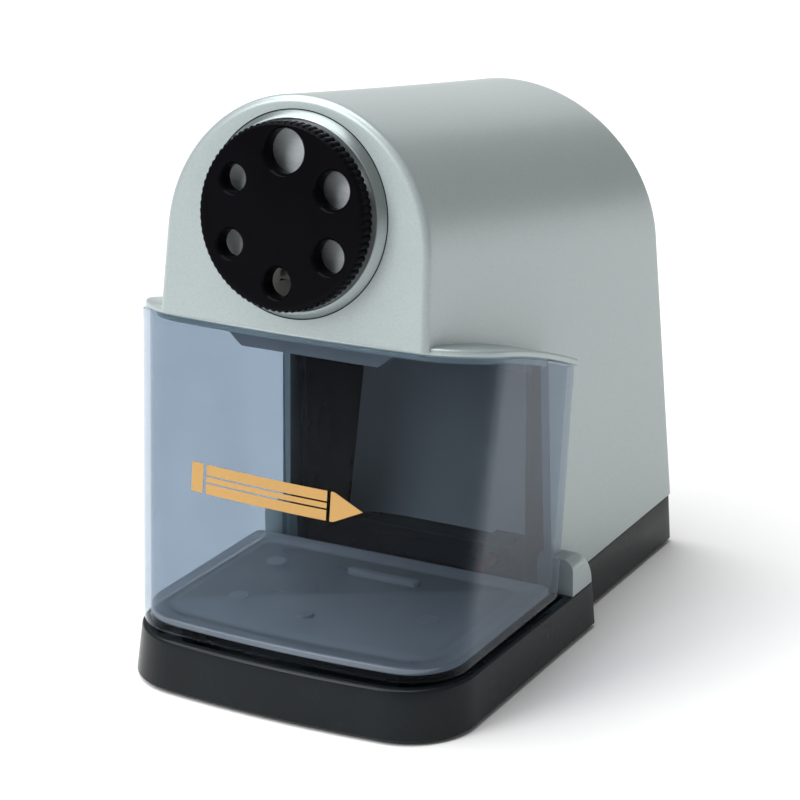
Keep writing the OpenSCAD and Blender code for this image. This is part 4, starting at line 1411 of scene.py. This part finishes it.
@dataclass
class Studio:
    """Camera, lights, world and floor."""

    place: Triple = (0.36765, -0.67592, 0.33420)
    back: Triple = (0.45588, -0.82812, 0.32619)
    roll: float = -0.614
    lens: float = 120.98
    shift: tuple[float, float] = (-0.0019, 0.0004)
    backdrop: float = 1.0
    ambient: float = 0.3
    key_watts: float = 7.8
    back_watts: float = 1.5
    key_from: Triple = (-0.55, -1.0, 0.75)
    key_size: float = 0.5
    back_from: Triple = (-0.4, 1.3, 0.6)
    back_size: float = 0.9
    sun: float = 3.3
    sun_spread: float = 60.0
    sun_turn: tuple[float, float] = (8.0, -18.0)
    floor_half: float = 6000.0
    floor_z: float = -0.02

    def camera(self) -> None:
        """Sets the camera from its place, the direction behind it and its roll."""
        back = Vector(self.back).normalized()
        right = Vector((-back.y, back.x, 0)).normalized()
        up = back.cross(right)
        c, s = math.cos(math.radians(self.roll)), math.sin(math.radians(self.roll))
        right, up = right * c + up * s, up * c - right * s
        m = Matrix.Identity(4)
        for i, axis in enumerate((right, up, back)):
            m.col[i] = (*axis, 0)
        m.translation = Vector(self.place)
        data = bpy.data.cameras.new("camera")
        data.lens = self.lens
        data.sensor_width = 36
        data.shift_x, data.shift_y = self.shift
        data.clip_start = 0.01
        cam = bpy.data.objects.new("camera", data)
        bpy.context.scene.collection.objects.link(cam)
        cam.matrix_world = m
        bpy.context.scene.camera = cam

    def lamp(self, name: str, where: Triple, at: Triple, size: float, watts: float) -> None:
        """A square soft white light.

        Args:
            name: its name.
            where: its place in metres.
            at: the point it faces.
            size: its side in metres.
            watts: its power.
        """
        data = bpy.data.lights.new(name, "AREA")
        data.size = size
        data.energy = watts
        obj = bpy.data.objects.new(name, data)
        bpy.context.scene.collection.objects.link(obj)
        obj.location = where
        obj.rotation_euler = (Vector(at) - Vector(where)).to_track_quat("-Z", "Y").to_euler()

    def build(self) -> None:
        """Builds the whole studio."""
        self.camera()
        scene = bpy.context.scene
        scene.view_settings.view_transform = "Standard"
        world = bpy.data.worlds.new("studio")
        scene.world = world
        world.use_nodes = True
        tree = world.node_tree
        bg = tree.nodes["Background"]
        bg.inputs["Color"].default_value = (1, 1, 1, 1)
        rays = tree.nodes.new("ShaderNodeLightPath")
        seen = math_node(tree, Sum.TIMES, rays.outputs["Is Camera Ray"], self.backdrop - self.ambient)
        tree.links.new(math_node(tree, Sum.PLUS, seen, self.ambient), bg.inputs["Strength"])
        self.lamp("key", self.key_from, (0, 0, 0.08), self.key_size, self.key_watts)
        self.lamp("back", self.back_from, (0, 0, 0.1), self.back_size, self.back_watts)
        sun = bpy.data.lights.new("sky", "SUN")
        sun.energy = self.sun
        sun.angle = math.radians(self.sun_spread)
        lit = bpy.data.objects.new("sky", sun)
        scene.collection.objects.link(lit)
        lit.rotation_euler = (math.radians(self.sun_turn[0]), math.radians(self.sun_turn[1]), 0)
        k = np.linspace(-self.floor_half, self.floor_half, 9)
        gx, gy = np.meshgrid(k, k, indexing="ij")
        out = Surface()
        out.grid(np.stack([gx, gy, np.full(gx.shape, self.floor_z)], -1))
        floor = out.piece("floor")
        dress(floor, PALE_FLOOR)


# ---------------------------------------------------------------- all of it


def dress_frame(frame: dict) -> None:
    """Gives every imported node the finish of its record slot.
    """
    slots = {row["node"]: row["material_slot"] for row in frame["record"]["subparts"]}
    for name, obj in frame["nodes"].items():
        finish = FINISHES[slots[name]]
        dress(obj, finish)
        shade(obj, SMOOTH_NODE)
        LOG.info("finish %s on %s", finish.name, name)


def main() -> None:
    """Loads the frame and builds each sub-assembly."""
    logging.basicConfig(level=logging.INFO, format="%(message)s")
    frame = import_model()
    Studio().build()
    dress_frame(frame)
    line = Outline()
    makers = (Housing(line), Dial(line), Bezel(line), Bin(line), BayPaintedReflection(line), Base(line))
    for maker in makers:
        piece = maker.build()
        LOG.info("built %s with %d faces", piece.name, len(piece.data.polygons))
        if isinstance(maker, Bin):
            LOG.info("built %s", maker.mark().name)


if __name__ == "__main__":
    main()
